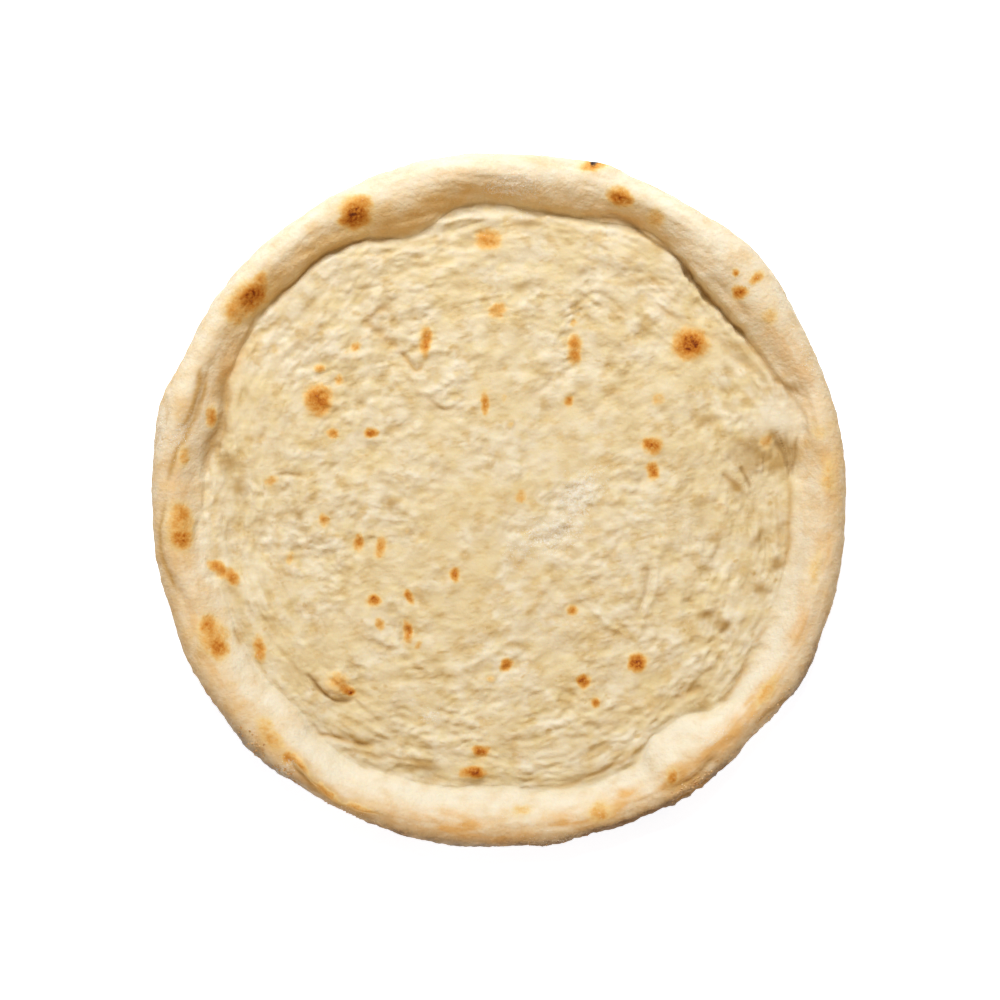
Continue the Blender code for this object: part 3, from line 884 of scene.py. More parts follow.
def skin_values():
    """The values that the skin carries at every point, for its relief and its colour."""
    x, y, z = skin_points.T
    radius, angle = np.hypot(x, y), np.arctan2(y, x)
    rim = Rim(angle)
    top = 1.0 - smooth_step(*TOP_ENDS, skin_beneath)
    loose = strayed(skin_points)
    outside = smooth_step(rim.crest, rim.outer, radius)
    outward = smooth_step(rim.foot, rim.outer, radius)
    past_foot = smooth_step(rim.foot, rim.crest, radius)
    _, golden, line_offset, line = folded(x, y)
    side_toast_and_shade = swelled(angle, SIDE_TOAST, SIDE_TOAST_AND_SHADE_SWELLS)
    inner_gold_and_shade = swelled(angle, INNER_GOLD, INNER_GOLD_AND_SHADE_SWELLS)
    grey = swelled(angle, 0.0, GREY_AND_SHADE_SWELLS).clip(0.0, 1.0)
    smooth, quiet = marked(loose, SMOOTH) * top, marked(loose, QUIET)
    stray = EDGE_STRAY * lumps(x, y, EDGE_STRAY_SIZE, EDGE_STRAY_CUT)
    edge = radius + stray - SOFT_FOOT * np.clip(TUCK - rim.tuck, 0.0, 1.0)
    return {
        "floor": on_floor(edge, rim, FINE_EDGE) * top * (1.0 - SMOOTHING * smooth) * (1.0 - quiet),
        "smooth": smooth,
        "dusk": marked(loose, DUSKY_AND_SHADE) * top,
        "grey": grey * np.where(z < rim.widest, 1.0, outside**GREY_AND_SHADE_POWER) * past_foot,
        "rim": smooth_step(*(rim.foot + edge for edge in RIM_EDGE), radius) * (1.0 - skin_beneath**2),
        # the rim's toasted side, with painted shade on its near side
        "side": side_toast_and_shade * np.where(z < rim.widest, 1.0, outside**SIDE_POWER) * past_foot,
        "underside": smooth_step(*UNDERSIDE_STARTS, skin_beneath),
        "gold": inner_gold_and_shade + (swelled(angle, OUTER_GOLD, OUTER_GOLD_AND_SHADE_SWELLS) - inner_gold_and_shade) * outward,
        "bake": marked(loose, RIM_BLISTERS + FLOOR_BLISTERS, HALO_SHARE) * top,
        "flush": flushed(loose, FLUSHES),
        "crumbly": flushed(loose, CRUMBLY),
        "char": marked(loose, CHARRED) * top,
        "flour": marked(loose, FLOURED) * top,
        "golden": golden * top,
        "line": line * top,
        "line_offset": line_offset / MM,
    }


# ---- The dough's skin ----
# Stretching leaves the skin finely puckered, in ripples that run round the disc, lie aslant where the
# hand pulled it, and grow low at the middle. The rim is plump, with fine wrinkles and a floury, toasted
# outside that has painted shade on its near side. Geometry Nodes raise the ripples on the laid-out skin.


class Value:
    """A socket of a node tree. Maths on it adds the Math nodes that work it out."""

    def __init__(self, tree, socket):
        self.tree, self.socket = tree, socket

    def maths(self, operation, *others):
        inputs = dict(enumerate((self, *others)))
        return self.tree.add("ShaderNodeMath", {"operation": operation}, inputs)

    def __add__(self, other):
        return self.maths("ADD", other)

    def __radd__(self, other):
        return self.maths("ADD", other)

    def __sub__(self, other):
        return self.maths("SUBTRACT", other)

    def __rsub__(self, other):
        return (self * -1.0).maths("ADD", other)

    def __mul__(self, other):
        return self.maths("MULTIPLY", other)

    def __rmul__(self, other):
        return self.maths("MULTIPLY", other)

    def __truediv__(self, other):
        return self.maths("DIVIDE", other)

    def __pow__(self, other):
        return self.maths("POWER", other)

    def __abs__(self):
        return self.maths("ABSOLUTE")

    def larger(self, other):
        return self.maths("MAXIMUM", other)

    def smaller(self, other):
        return self.maths("MINIMUM", other)

    def rising(self, low, high):
        """0 below low, 1 above high, and a smooth step between."""
        settings = {"interpolation_type": "SMOOTHSTEP"}
        ends = {"Value": self, "From Min": low, "From Max": high}
        return self.tree.add("ShaderNodeMapRange", settings, ends)


class Tree:
    """Adds nodes to a geometry or shader tree, and hands back their sockets as values."""

    def __init__(self, tree):
        self.tree = tree

    def add(self, kind, settings=None, inputs=None, output=0):
        node = self.tree.nodes.new(kind)
        for name, setting in (settings or {}).items():
            if name == "stops":
                self.set_stops(node.color_ramp, setting)
            else:
                setattr(node, name, setting)
        self.plug(node, inputs or {})
        return Value(self, node.outputs[output])

    def plug(self, node, inputs):
        """Links a node's inputs where they are given as values, and sets the others."""
        for name, source in inputs.items():
            if isinstance(source, Value):
                self.tree.links.new(source.socket, node.inputs[name])
            else:
                node.inputs[name].default_value = source

    @staticmethod
    def set_stops(ramp, stops):
        while len(ramp.elements) < len(stops):
            ramp.elements.new(0.5)
        for element, (place, colour) in zip(ramp.elements, stops):
            element.position, element.color = place, colour

    def mix(self, share, first, second, kind="RGBA"):
        """From the first colour or number, at a share of 0, to the second, at 1."""
        names = {"RGBA": (6, 7, 2), "FLOAT": (2, 3, 0)}[kind]
        inputs = {0: share, names[0]: first, names[1]: second}
        return self.add("ShaderNodeMix", {"data_type": kind}, inputs, names[2])

    def vector(self, operation, *sources, scale=1.0):
        inputs = dict(enumerate(sources))
        if operation == "SCALE":
            inputs["Scale"] = scale
        return self.add("ShaderNodeVectorMath", {"operation": operation}, inputs)

    def split(self, vector):
        node = self.add("ShaderNodeSeparateXYZ", None, {0: vector}).socket.node
        return [Value(self, socket) for socket in node.outputs]

    def join(self, x, y, z):
        return self.add("ShaderNodeCombineXYZ", None, {0: x, 1: y, 2: z})

    def noise(self, place, size=1.0, detail=0.0, roughness=0.5, output=0):
        """Noise from 0 to 1 with lumps about as long as size."""
        inputs = {"Vector": place, "Scale": 1.0 / size, "Detail": detail, "Roughness": roughness}
        return self.add("ShaderNodeTexNoise", None, inputs, output)

    def swing(self, place, size=1.0, detail=0.0, roughness=0.5):
        """Noise that swings either side of 0, mostly between -0.5 and 0.5."""
        return self.noise(place, size, detail, roughness) * 2.0 - 1.0


def aslant(tree, x, y, turn, across, along):
    """Places measured across and along streaks that lie at a turn to the X axis, in their sizes."""
    cosine, sine = math.cos(math.radians(turn)), math.sin(math.radians(turn))
    return tree.join((x * cosine + y * sine) / along, (y * cosine - x * sine) / across, 0.0)


def round_the_disc(tree, x, y, across, along):
    """Places measured across and along streaks that run round the disc, in their sizes."""
    radius = (x * x + y * y) ** 0.5
    turns = RIPPLE_RADIUS / along
    return tree.join(x / radius * turns, y / radius * turns, radius / across)


def course(tree, place):
    """How far streaks stray from their course at each place, in their own widths."""
    stray = tree.vector("SUBTRACT", tree.noise(place, WARP_SIZE, output=1), (0.5, 0.5, 0.5))
    return tree.vector("SCALE", stray, scale=WARP)


def blended(tree, share, first, second):
    """Two noises mixed, so that the mix swings as far as each does alone."""
    return tree.mix(share, first, second, "FLOAT") / (share * share + (1.0 - share) ** 2.0) ** 0.5


LUMP_HEIGHT = 1.05 * MM
LUMP_SIZE = 5.4 * MM
DRAWN_WIDTH = 4.6 * MM  # of the lumps that are drawn out into ripples
DRAWN_LENGTH = 10.0 * MM
EVEN_TURN = 12  # degrees from +X, of the plain lumps, which are a little longer than wide
EVEN_STRETCH = 1.18
RIPPLED = 0.5  # how far the lumps turn into ripples, at most
RIPPLED_PATCH = 30 * MM  # of the places where they do
PUCKER_PATCH = 17 * MM  # of the places where the relief is high
ROUND_START = 62 * MM  # from here outwards the streaks turn to run round the disc
ROUND_FULL = 112 * MM
ROUND_SHARE = 0.62
STREAK_HEIGHT = 0.6 * MM
STREAK_SHARE = 0.5  # of the lumps' size
CREASE_HEIGHT = 0.5 * MM
CREASE_SHARE = 1.1  # of the lumps' size
CREASE_SHARPNESS = 0.4  # of the swing of the noise, that a crease takes up
CREASE_PATCH = 12 * MM
STREAK_ASIDE = 17.0  # how far each noise lies from the lumps' own, so that it is another one
CREASE_ASIDE = 31.0
FLECK_ASIDE = 5.0
RIPPLET_ASIDE = 11.0
WARP_SIZE = 30 * MM  # over which the streaks change course
WARP = 1.6  # how far they stray, in their own widths
SLANT_TURN = 38  # degrees from +X, of the ripples that lie aslant
SLANT_MIDDLE = (46 * MM, 40 * MM)
SLANT_REACH = 38 * MM
CALM_REACH = 95 * MM  # from the middle, within which the relief is low
CALM_RELIEF = 0.55  # of it that is left at the middle, and of its colours
CALM_COLOUR = 0.5
RIM_GRAIN_HEIGHT = 0.65 * MM
RIM_GRAIN_SIZE = 7.0 * MM
SIDE_CRUMB_HEIGHT = 1.2 * MM  # of the coarse crumbly crust where the side is toasted
SIDE_CRUMB_SIZE = 3.4 * MM
CRUMBLY_SHARE = 0.7  # of that height, where the crust came up crumbly
WRINKLE_HEIGHT = 0.6 * MM  # of the fine wrinkles that run along the rim
WRINKLE_WIDTH = 2.3 * MM
WRINKLE_LENGTH = 11 * MM
WRINKLE_PATCH = 21 * MM
RIPPLET_WIDTH = 1.7 * MM  # of the finest ripples, which only the light shows
RIPPLET_LENGTH = 3.2 * MM
RIPPLET_SHARE = 0.1  # of a millimetre, how high they are
CREVICE_WIDTH = 3.6 * MM  # from one crevice between the ripples to the next
CREVICE_LENGTH = 6.0 * MM
CREVICE_SHARPNESS = 0.45  # of the swing of the noise, that a crevice takes up
CREVICE_SHARE = 0.1  # of a millimetre, how deep they are
CREVICE_PATCH = 9 * MM
FLECK_WIDTH = 2.6 * MM  # of the tan flecks in the hollows
FLECK_LENGTH = 4.4 * MM
FLUSH_WIDTH = 5.5 * MM  # of the streaks in the flush along the rim
FLUSH_LENGTH = 15.0 * MM
SHADE_LINE_WIDTH = 1.2  # in millimetres to either side, of the painted shade line at a fold's bottom


def begin_nodes(name, inputs):
    """A Geometry Nodes group with those inputs, as names and kinds, and its tree and their values."""
    group = bpy.data.node_groups.new(name, "GeometryNodeTree")
    for label, kind in inputs.items():
        group.interface.new_socket(label, in_out="INPUT", socket_type="NodeSocket" + kind)
    group.interface.new_socket("Result", in_out="OUTPUT", socket_type="NodeSocketGeometry")
    tree = Tree(group)
    given = group.nodes.new("NodeGroupInput").outputs
    return group, tree, [Value(tree, given[label]) for label in inputs]


def end_nodes(group, tree, geometry, stuff):
    """Makes the geometry real, gives it its material and hands it out of the group."""
    real = tree.add("GeometryNodeRealizeInstances", None, {"Geometry": geometry})
    done = tree.add("GeometryNodeSetMaterial", None, {"Geometry": real, "Material": stuff})
    tree.plug(group.nodes.new("NodeGroupOutput"), {0: done})
    return group


def pucker_nodes():
    """Geometry Nodes that raise the ripples and note how high each point lies, in millimetres."""
    heights = (
        "Lump Height", "Streak Height", "Crease Height", "Rim Grain Height", "Wrinkle Height",
        "Side Crumb Height",
    )
    inputs = {"Skin": "Geometry", **dict.fromkeys(heights, "Float"), "Crust": "Material"}
    group, tree, (skin, *given, crust) = begin_nodes("puckered skin", inputs)
    lump_height, streak_height, crease_height, grain_height, wrinkle_height, side_height = given

    def carried(name):
        return tree.add("GeometryNodeInputNamedAttribute", {"data_type": "FLOAT"}, {"Name": name})

    place = tree.add("GeometryNodeInputPosition")
    warp = course(tree, place)
    x, y, _ = tree.split(place)
    radius = (x * x + y * y) ** 0.5
    ringed = round_the_disc(tree, x, y, DRAWN_WIDTH, DRAWN_LENGTH)
    slanted = aslant(tree, x, y, SLANT_TURN, DRAWN_WIDTH, DRAWN_LENGTH)
    even = aslant(tree, x, y, EVEN_TURN, LUMP_SIZE / EVEN_STRETCH, LUMP_SIZE * EVEN_STRETCH)
    away = ((x - SLANT_MIDDLE[0]) ** 2.0 + (y - SLANT_MIDDLE[1]) ** 2.0) ** 0.5
    slant = RIPPLED * (1.0 - away.rising(0.5 * SLANT_REACH, SLANT_REACH))
    drawn_out = RIPPLED * tree.noise(place, RIPPLED_PATCH).rising(0.4, 0.62)
    ring = (radius.rising(RIPPLE_START, RIPPLE_FULL) * drawn_out).larger(
        radius.rising(ROUND_START, ROUND_FULL) * ROUND_SHARE
    )
    places = [tree.vector("ADD", grain, warp) for grain in (even, ringed, slanted)]

    def swing(share, detail, aside=0.0):
        """Noise at that share of the lumps' size: even, or drawn out round the disc or aslant."""
        moved = [tree.vector("ADD", spot, (aside, aside, aside)) for spot in places]
        even_kind, ringed_kind, slanted_kind = [tree.swing(spot, share, detail) for spot in moved]
        return tree.mix(slant, blended(tree, ring, even_kind, ringed_kind), slanted_kind, "FLOAT")

    calm = CALM_RELIEF + (1.0 - CALM_RELIEF) * radius.rising(0.0, CALM_REACH)
    patchy = 0.5 + tree.noise(place, PUCKER_PATCH, 1.0).rising(0.34, 0.66)
    crease = 1.0 - (abs(swing(CREASE_SHARE, 0.0, CREASE_ASIDE)) / CREASE_SHARPNESS).smaller(1.0)
    crease = crease * crease * tree.noise(place, CREASE_PATCH).rising(0.5, 0.62)
    lying = carried("floor") * patchy * calm
    lump = swing(1.0, 0.6) * lump_height * lying
    streak = swing(STREAK_SHARE, 0.0, STREAK_ASIDE) * streak_height
    height = lump + (streak - crease * crease_height) * lying
    wrinkle_place = round_the_disc(tree, x, y, WRINKLE_WIDTH, WRINKLE_LENGTH)
    wrinkle = tree.swing(tree.vector("ADD", wrinkle_place, warp), 1.0, 0.6)
    wrinkle = wrinkle * tree.noise(place, WRINKLE_PATCH).rising(0.4, 0.62) * wrinkle_height
    grain = tree.swing(place, RIM_GRAIN_SIZE, 2.0) * grain_height
    crumbs = tree.swing(place, SIDE_CRUMB_SIZE, 2.0, 0.6) * side_height
    crumbs = crumbs * (carried("side") + CRUMBLY_SHARE * carried("crumbly"))
    height = height + (grain + wrinkle + crumbs) * carried("rim")
    offset = tree.vector("SCALE", tree.add("GeometryNodeInputNormal"), scale=height)
    moved = tree.add("GeometryNodeSetPosition", None, {"Geometry": skin, "Offset": offset})
    noted = tree.add(
        "GeometryNodeStoreNamedAttribute", {"data_type": "FLOAT", "domain": "POINT"},
        {"Geometry": moved, "Name": "relief", "Value": lump / MM},
    )
    return end_nodes(group, tree, noted, crust)


def seen_colour(red, green, blue):
    """The colour of what looks this red, green and blue (0 to 255), lying flat in the light."""
    linear = [((c / 255 + 0.055) / 1.055) ** 2.4 if c > 10 else c / 3295 for c in (red, green, blue)]
    return tuple(c / level for c, level in zip(linear, LIGHT_LEVEL)) + (1.0,)


LIGHT_LEVEL = (1.33, 1.29, 1.25)  # how bright a white card lying flat would look, where 1 is full white
CREAM = seen_colour(238, 213, 164)
PALE_CREAM = seen_colour(248, 234, 207)
YELLOW_CREAM = seen_colour(240, 215, 160)
# The hollow colour is painted shade, for the hollows between the ripples.
PAINTED_HOLLOW_SHADE = seen_colour(210, 174, 106)
TAN = seen_colour(226, 191, 130)
# The crevice colour is painted shade, for the crevices between the ripples.
CREVICE_SHADE = seen_colour(186, 146, 84)
FLECK = seen_colour(206, 164, 92)
RIM_CREAM = seen_colour(247, 231, 201)
RIM_GOLD = seen_colour(236, 192, 126)
FLUSH_GOLD = seen_colour(233, 177, 100)
# Dusky gold of small smudges, and painted shade in the pit and along the foot.
DUSK_AND_SHADE = seen_colour(184, 143, 80)
# The fold colours: gold along a fold's middle, which is painted shade in a fold's bottom and toasted
# crust on a ridge, and a dark painted shade line along the deepest bottoms.
FOLD_GOLD_AND_SHADE = seen_colour(203, 156, 84)
FOLD_SHADE = seen_colour(150, 112, 62)
SIDE_BROWN = seen_colour(200, 160, 110)
SIDE_DARK = seen_colour(116, 91, 68)
# Grey of flour on the rim's near side, partly painted shade.
SIDE_GREY_AND_SHADE = seen_colour(162, 150, 138)
UNDER_CREAM = seen_colour(228, 194, 140)
UNDER_BROWN = seen_colour(178, 124, 66)
FLOUR = seen_colour(253, 245, 230)
TOAST_STOPS = (
    (0.0, seen_colour(244, 218, 164)),
    (0.18, seen_colour(242, 206, 142)),
    (0.36, seen_colour(233, 177, 98)),
    (0.54, seen_colour(217, 146, 60)),
    (0.72, seen_colour(199, 118, 34)),
    (0.88, seen_colour(174, 91, 19)),
    (1.0, seen_colour(132, 56, 10)),
)
CHAR = seen_colour(52, 34, 30)
MATT = 0.12  # how little flour and dry dough gleam
BROAD_SIZE = 20 * MM  # of the noises that make the colours uneven, from the largest to the finest
PATCH_SIZE = 8 * MM
TINT_SIZE = 6 * MM
FINE_SIZE = 1.8 * MM
SPECK_SIZE = 1.7 * MM
DUST_SIZE = 1.1 * MM
CRUMB_SPECK_SIZE = 0.8 * MM


def new_material(name):
    """A material, its tree and its shader."""
    material = bpy.data.materials.new(name)
    material.use_nodes = True
    return material, Tree(material.node_tree), material.node_tree.nodes["Principled BSDF"]


def crust_material():
    """Cream dough under the finishes that the oven and the hand left, and under painted shade in its
    hollows, crevices, folds and pit and on the rim's walls that face from the light. Each finish is (how
    strongly it shows, its colour) and lies over those before it. Its strength comes from what the skin
    carries and from noises, and the levels and shares in it are those at which it looks right."""
    material, tree, shader = new_material("baked crust")

    def carried(name):
        return tree.add("ShaderNodeAttribute", {"attribute_name": name}, None, 2)

    def laid_over(colour, *finishes):
        for strength, finish in finishes:
            colour = tree.mix(strength, colour, finish)
        return colour

    place = tree.add("ShaderNodeTexCoord", None, None, 3)
    x, y, _ = tree.split(place)
    names = ("relief", "floor", "rim", "side", "bake", "golden", "line")
    relief, flat, rim, side, bake, golden, line = (carried(name) for name in names)
    broad = tree.noise(place, BROAD_SIZE, 2.0)
    patch = tree.noise(tree.vector("ADD", place, (0.3, 0.1, 0.2)), PATCH_SIZE, 2.0)
    tint = tree.noise(tree.vector("ADD", place, (0.7, 0.4, 0.1)), TINT_SIZE, 1.0)
    speck = tree.noise(place, SPECK_SIZE, 2.0, 0.6)
    crumb = tree.noise(place, CRUMB_SPECK_SIZE, 2.0, 0.7)
    dust = tree.noise(place, DUST_SIZE, 3.0, 0.7)
    warp = course(tree, place)
    radius = (x * x + y * y) ** 0.5
    ring = radius.rising(ROUND_START, ROUND_FULL) * ROUND_SHARE

    def streaks(across, along, detail, aside=0.0):
        """Noise that swings either side of 0, in streaks that turn to run round the disc further out."""
        even = aslant(tree, x, y, EVEN_TURN, across, along)
        ringed = round_the_disc(tree, x, y, across, along)
        moved = [tree.vector("ADD", spot, warp) for spot in (even, ringed)]
        moved = [tree.vector("ADD", spot, (aside, aside, aside)) for spot in moved]
        return blended(tree, ring, *(tree.swing(spot, 1.0, detail) for spot in moved))

    # Crevices between the ripples, dented into the bump and painted into the colour as shade.
    crevice = 1.0 - (abs(streaks(CREVICE_WIDTH, CREVICE_LENGTH, 1.0)) / CREVICE_SHARPNESS).smaller(1.0)
    crevice = crevice * flat * tree.noise(place, CREVICE_PATCH, 1.0).rising(0.42, 0.66)
    calm = CALM_COLOUR + (1.0 - CALM_COLOUR) * radius.rising(0.0, CALM_REACH)
    fleck = streaks(FLECK_WIDTH, FLECK_LENGTH, 1.0, FLECK_ASIDE).rising(0.2, 0.56)
    fleck = fleck * flat * patch.rising(0.4, 0.6)
    dough_colour = laid_over(
        CREAM,
        (broad.rising(0.35, 0.65) * 0.5, PALE_CREAM),
        (tint.rising(0.48, 0.75) * 0.7, YELLOW_CREAM),
        (patch.rising(0.5, 0.72) * 0.75, TAN),
        # Painted light from the relief: the lower the skin lies, the more of the hollow colour, as
        # painted shade; the higher, the paler, partly as painted highlight on the crests and partly
        # their paler floured skin. Then painted shade in the crevices.
        ((relief * -1.0).rising(-0.1, 0.6) * 0.42, PAINTED_HOLLOW_SHADE),
        (relief.rising(-0.05, 0.6) * 0.4, PALE_CREAM),
        (crevice * calm * 0.28, CREVICE_SHADE),
        (fleck * calm * 0.56, FLECK),
    )
    # The rim's gold, deeper where its walls face from the light, as painted shade.
    gold = carried("gold") + (patch - 0.5) * 1.2 + (speck - 0.5) * 0.3
    rind = tree.mix(gold.rising(0.0, 1.2), RIM_CREAM, RIM_GOLD)
    grained = tree.noise(round_the_disc(tree, x, y, FLUSH_WIDTH, FLUSH_LENGTH), 1.0, 2.0)
    flush = carried("flush") * (0.3 + 0.9 * grained.rising(0.36, 0.64) + (speck - 0.5) * 0.3)
    # The rim's toasted side, with dark specks and a grey that is partly flour and partly painted shade.
    dark = (speck * 0.6 + crumb * 0.4 + (side - 0.6) * 0.3).rising(0.38, 0.62) * 0.8
    grey = carried("grey") * (0.4 + 0.9 * speck)
    toasted = laid_over(SIDE_BROWN, (dark, SIDE_DARK), (grey, SIDE_GREY_AND_SHADE))
    touched = (0.5 * broad + 0.3 * patch + 0.2 * speck).rising(0.42, 0.6)
    scorched = (0.35 * broad + 0.4 * patch + 0.25 * speck).rising(0.56, 0.66)
    below = laid_over(
        UNDER_CREAM,
        (touched * 0.7, UNDER_BROWN),
        (scorched * 0.7, SIDE_DARK),
        ((crumb * 0.5 + tint * 0.5).rising(0.5, 0.7) * 0.4, FLOUR),
    )
    line = line * (1.0 - (abs(carried("line_offset")) / SHADE_LINE_WIDTH).smaller(1.0))
    mottle = (speck - 0.5) * (1.15 * bake.rising(0.35, 0.95) + 0.35 * bake.rising(0.05, 0.3))
    toast = bake + mottle + (patch - 0.5) * 0.3 * bake.rising(0.0, 0.4)
    browned = tree.add("ShaderNodeValToRGB", {"stops": TOAST_STOPS}, {0: toast})
    floury = carried("flour")
    flour = (floury * 0.8 + (dust - 0.5) * 2.4 + (patch - 0.5) - 0.35).rising(0.0, 0.6)
    colour = laid_over(
        dough_colour,
        (rim * 0.9, rind),
        (flush.smaller(1.0) * 0.9, FLUSH_GOLD),
        # Toast on the rim's outer side, darker on its near side as painted shade.
        ((side * (0.4 + 1.2 * patch)).smaller(1.0), toasted),
        (carried("smooth") * 0.6, PALE_CREAM),
        (carried("underside") * 0.9, below),
        # Painted shade in the pit and along the foot, and dusky smudges out on the floor.
        ((carried("dusk") * (0.7 + 0.6 * patch)).smaller(1.0) * 0.9, DUSK_AND_SHADE),
        # Painted shade along the folds' bottoms, in gold and a dark line, and toasted gold along the
        # ridges.
        ((golden * 0.8).smaller(1.0), FOLD_GOLD_AND_SHADE),
        ((line * 0.6).smaller(1.0), FOLD_SHADE),
        (toast.rising(0.0, 0.26), browned),
        ((carried("char") + (speck - 0.5) * 0.8).rising(0.25, 0.75), CHAR),
        (flour * 0.5, FLOUR),
    )
    ripple = streaks(RIPPLET_WIDTH, RIPPLET_LENGTH, 0.0, RIPPLET_ASIDE)
    creped = (0.3 + 1.4 * patch.rising(0.36, 0.64)) * calm
    fine = 0.2 * tree.noise(place, FINE_SIZE, 2.0) * (1.0 + 2.0 * side + 1.1 * rim) + 0.07 * crumb
    fine = fine + ripple * RIPPLET_SHARE * creped * (1.0 - 0.8 * rim)
    fine = fine - CREVICE_SHARE * crevice - 0.2 * line + 0.3 * floury * dust
    tree.plug(shader, {
        "Base Color": colour,
        "Roughness": 0.78 + 0.14 * flour - 0.12 * bake.rising(0.4, 0.9),
        "Normal": tree.add("ShaderNodeBump", None, {"Strength": 1.0, "Distance": MM, "Height": fine}),
        "Specular IOR Level": MATT,
        "Subsurface Weight": 0.12,
        "Subsurface Radius": (1.0, 0.5, 0.2),
        "Subsurface Scale": MM,
    })
    return material


def placed(name, data):
    """A new object in the scene."""
    thing = bpy.data.objects.new(name, data)
    bpy.context.scene.collection.objects.link(thing)
    return thing


def finished(thing, name):
    """The object's evaluated shape as a plain mesh on a new object of that name."""
    bpy.context.view_layer.update()
    mesh = bpy.data.meshes.new_from_object(thing.evaluated_get(bpy.context.evaluated_depsgraph_get()))
    mesh.name = name
    plain = placed(name, mesh)
    bpy.data.objects.remove(thing)
    return plain


def with_nodes(thing, group, **values):
    """Puts a Geometry Nodes modifier on the object, with the inputs of those names set."""
    modifier = thing.modifiers.new(group.name, "NODES")
    modifier.node_group = group
    sockets = [item for item in group.interface.items_tree if item.in_out == "INPUT"]
    identifiers = {socket.name: socket.identifier for socket in sockets}
    for name, value in values.items():
        modifier[identifiers[name.replace("_", " ")]] = value


def bake_dough(crust):
    mesh = bpy.data.meshes.new("dough")
    mesh.from_pydata((skin_points - skin_middle).tolist(), [], skin_triangles)
    for name, values in skin_values().items():
        mesh.attributes.new(name, "FLOAT", "POINT").data.foreach_set("value", values.astype(np.float32))
    mesh.shade_smooth()
    thing = placed("laid out dough", mesh)
    with_nodes(
        thing, pucker_nodes(), Lump_Height=LUMP_HEIGHT, Streak_Height=STREAK_HEIGHT,
        Crease_Height=CREASE_HEIGHT, Rim_Grain_Height=RIM_GRAIN_HEIGHT,
        Wrinkle_Height=WRINKLE_HEIGHT, Side_Crumb_Height=SIDE_CRUMB_HEIGHT, Crust=crust,
    )
    return finished(thing, "baked_dough")


dough = bake_dough(crust_material())
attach(dough, "root")
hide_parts("pizza_base")


# ---- The loose flour ----
# The dough was dusted with flour before it was baked, and grains of it still lie on the crust: dry,
# white and under half a millimetre across. Geometry Nodes scatter them where the skin is floury.

FLOUR_DENSITY = 1.7e6  # grains on a square metre where the flour is thickest
FLOUR_SIZE = 0.24 * MM  # the radius of the largest
FLOUR_SEED = 5
FLOUR_COLOURS = (seen_colour(244, 234, 212), seen_colour(253, 248, 238))
FLOUR_COLOUR_SIZE = 2.0 * MM  # over which the one turns into the other
GRAIN_LEAST = (0.45, 0.45, 0.3)  # the smallest and the largest grain, as shares of the radius
GRAIN_MOST = (1.0, 1.0, 0.7)


def scatter_nodes():
    """Geometry Nodes that leave only small grains, scattered as thickly as a value the skin carries."""
    group, tree, given = begin_nodes("scattered grains", {
        "Skin": "Geometry",
        "Carried Value": "String",
        "Density": "Float",
        "Size": "Float",
        "Seed": "Int",
        "Stuff": "Material",
    })
    skin, name, density, size, seed, stuff = given
    thick = tree.add("GeometryNodeInputNamedAttribute", {"data_type": "FLOAT"}, {"Name": name})
    points = tree.add(
        "GeometryNodeDistributePointsOnFaces", {"distribute_method": "RANDOM"},
        {"Mesh": skin, "Density": thick * thick * density, "Seed": seed},
    )
    turned = Value(tree, points.socket.node.outputs["Rotation"])
    shape = tree.add(
        "FunctionNodeRandomValue", {"data_type": "FLOAT_VECTOR"},
        {0: GRAIN_LEAST, 1: GRAIN_MOST, "Seed": seed},
    )
    grain = tree.add("GeometryNodeMeshIcoSphere", None, {"Radius": size, "Subdivisions": 1})
    grains = tree.add(
        "GeometryNodeInstanceOnPoints", None,
        {"Points": points, "Instance": grain, "Rotation": turned, "Scale": shape},
    )
    return end_nodes(group, tree, grains, stuff)


def scattered(name, carried_value, density, size, seed, stuff):
    """Grains on the baked dough as one mesh, riding with it."""
    thing = placed("laid out " + name, dough.data.copy())
    with_nodes(
        thing, scatter, Carried_Value=carried_value, Density=density, Size=size, Seed=seed, Stuff=stuff
    )
    grains = finished(thing, name)
    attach(grains, "root")


def dry_material(name, colours, size):
    """A dull material whose colour goes from the first to the second from grain to grain."""
    material, tree, shader = new_material(name)
    place = tree.add("ShaderNodeTexCoord", None, None, 3)
    colour = tree.mix(tree.noise(place, size, 1.0).rising(0.35, 0.65), *colours)
    tree.plug(shader, {"Base Color": colour, "Roughness": 0.9, "Specular IOR Level": MATT})
    return material


scatter = scatter_nodes()
flour_stuff = dry_material("dry flour", FLOUR_COLOURS, FLOUR_COLOUR_SIZE)
scattered("loose_flour", "flour", FLOUR_DENSITY, FLOUR_SIZE, FLOUR_SEED, flour_stuff)


# ---- The crumbs on the rim ----
# Where the rim cracked open in the oven its crust came up in small hard crumbs, toasted a dull gold
# and dusted with flour. They are scattered like the flour, where the skin is crumbly.

CRUMB_DENSITY = 0.45e6  # crumbs on a square metre where they are thickest
CRUMB_SIZE = 0.7 * MM  # the radius of the largest
CRUMB_SEED = 8
CRUMB_COLOURS = (seen_colour(236, 196, 142), seen_colour(204, 152, 98))
CRUMB_COLOUR_SIZE = 3.0 * MM

crumb_stuff = dry_material("toasted crumbs", CRUMB_COLOURS, CRUMB_COLOUR_SIZE)
scattered("rim_crumbs", "crumbly", CRUMB_DENSITY, CRUMB_SIZE, CRUMB_SEED, crumb_stuff)


# ---- The table, the light and the camera ----
# A plain pale surface under a large soft light from the far side, a weak warm one from the near side
# and an even glow all round, with the camera straight above.

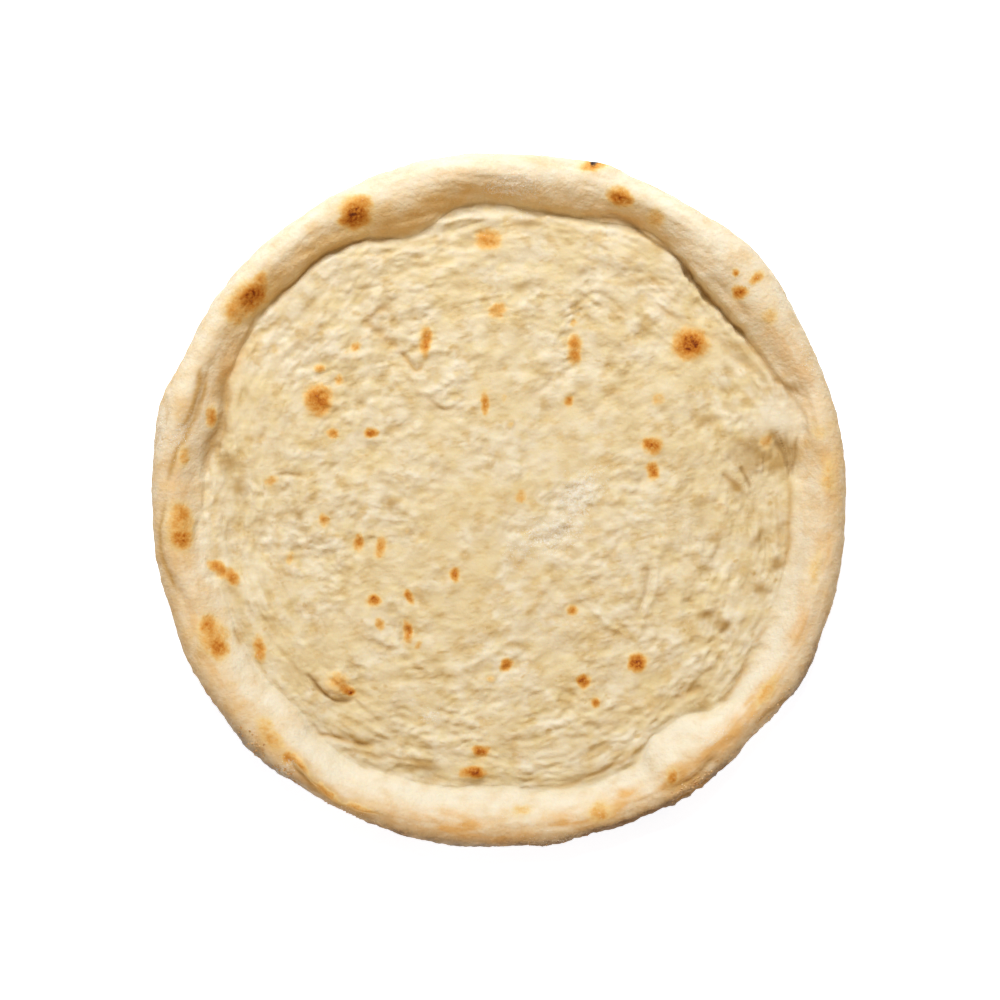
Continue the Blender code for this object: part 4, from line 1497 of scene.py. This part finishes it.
VIEW_WIDTH = 430.4 * MM  # of the picture, at the height of the rim's widest line
LENS = 100.0
SENSOR = 36.0
VIEW_MIDDLE = (-0.43 * MM, 0.0, 7 * MM)  # of the picture, from the middle of the laid-out dough
LOOK_AT = tuple(np.array(VIEW_MIDDLE) - skin_middle)
TABLE_HALF = 3.0
KEY_BEARING = 98
KEY_ELEVATION = 42
KEY_DISTANCE = 1.5
KEY_SIZE = 0.6
KEY_POWER = 29
KEY_COLOUR = (0.92, 1.0, 1.12)
BOUNCE_BEARING = -90  # of the warm light that a room throws back from the near side
BOUNCE_ELEVATION = 28
BOUNCE_DISTANCE = 1.3
BOUNCE_SIZE = 1.1
BOUNCE_POWER = 6
BOUNCE_COLOUR = (1.0, 0.66, 0.3)
FILL_LEVEL = 0.38
FILL_COLOUR = (1.0, 0.85, 0.62)
TABLE_GLOW = (0.50, 0.60, 0.74)  # it is lit a little from beneath, so that no shadow on it is heavy


def lay_table():
    mesh = bpy.data.meshes.new("table")
    corners = [(x * TABLE_HALF, y * TABLE_HALF, 0) for x, y in ((-1, -1), (1, -1), (1, 1), (-1, 1))]
    mesh.from_pydata(corners, [], [(0, 1, 2, 3)])
    material, tree, shader = new_material("pale table")
    tree.plug(shader, {
        "Base Color": (0.95, 0.95, 0.95, 1),
        "Roughness": 0.9,
        "Specular IOR Level": 0.1,
        "Emission Color": TABLE_GLOW + (1,),
        "Emission Strength": 1.0,
    })
    mesh.materials.append(material)
    table = placed("table", mesh)


def hang_light(name, size, power, colour, distance, bearing, elevation):
    """A square soft light that looks at the middle of the table."""
    lamp = bpy.data.lights.new(name, "AREA")
    lamp.size, lamp.energy, lamp.color = size, power, colour
    light = placed(name, lamp)
    turn, rise = math.radians(bearing), math.radians(elevation)
    flat = distance * math.cos(rise)
    light.location = (flat * math.cos(turn), flat * math.sin(turn), distance * math.sin(rise))
    light.rotation_euler = Vector(light.location).to_track_quat("Z", "Y").to_euler()


def fill_room():
    world = bpy.data.worlds.new("soft room")
    bpy.context.scene.world = world
    world.use_nodes = True
    background = world.node_tree.nodes["Background"]
    background.inputs["Color"].default_value = FILL_COLOUR + (1,)
    background.inputs["Strength"].default_value = FILL_LEVEL


def set_camera():
    lens = bpy.data.cameras.new("camera")
    lens.lens, lens.sensor_width = LENS, SENSOR
    camera = placed("camera", lens)
    distance = VIEW_WIDTH * LENS / SENSOR
    camera.location = Vector(LOOK_AT) + Vector((0, 0, distance))
    bpy.context.scene.camera = camera
    bpy.context.scene.view_settings.view_transform = "Standard"


lay_table()
hang_light("key", KEY_SIZE, KEY_POWER, KEY_COLOUR, KEY_DISTANCE, KEY_BEARING, KEY_ELEVATION)
hang_light(
    "bounce", BOUNCE_SIZE, BOUNCE_POWER, BOUNCE_COLOUR, BOUNCE_DISTANCE, BOUNCE_BEARING, BOUNCE_ELEVATION
)
fill_room()
set_camera()
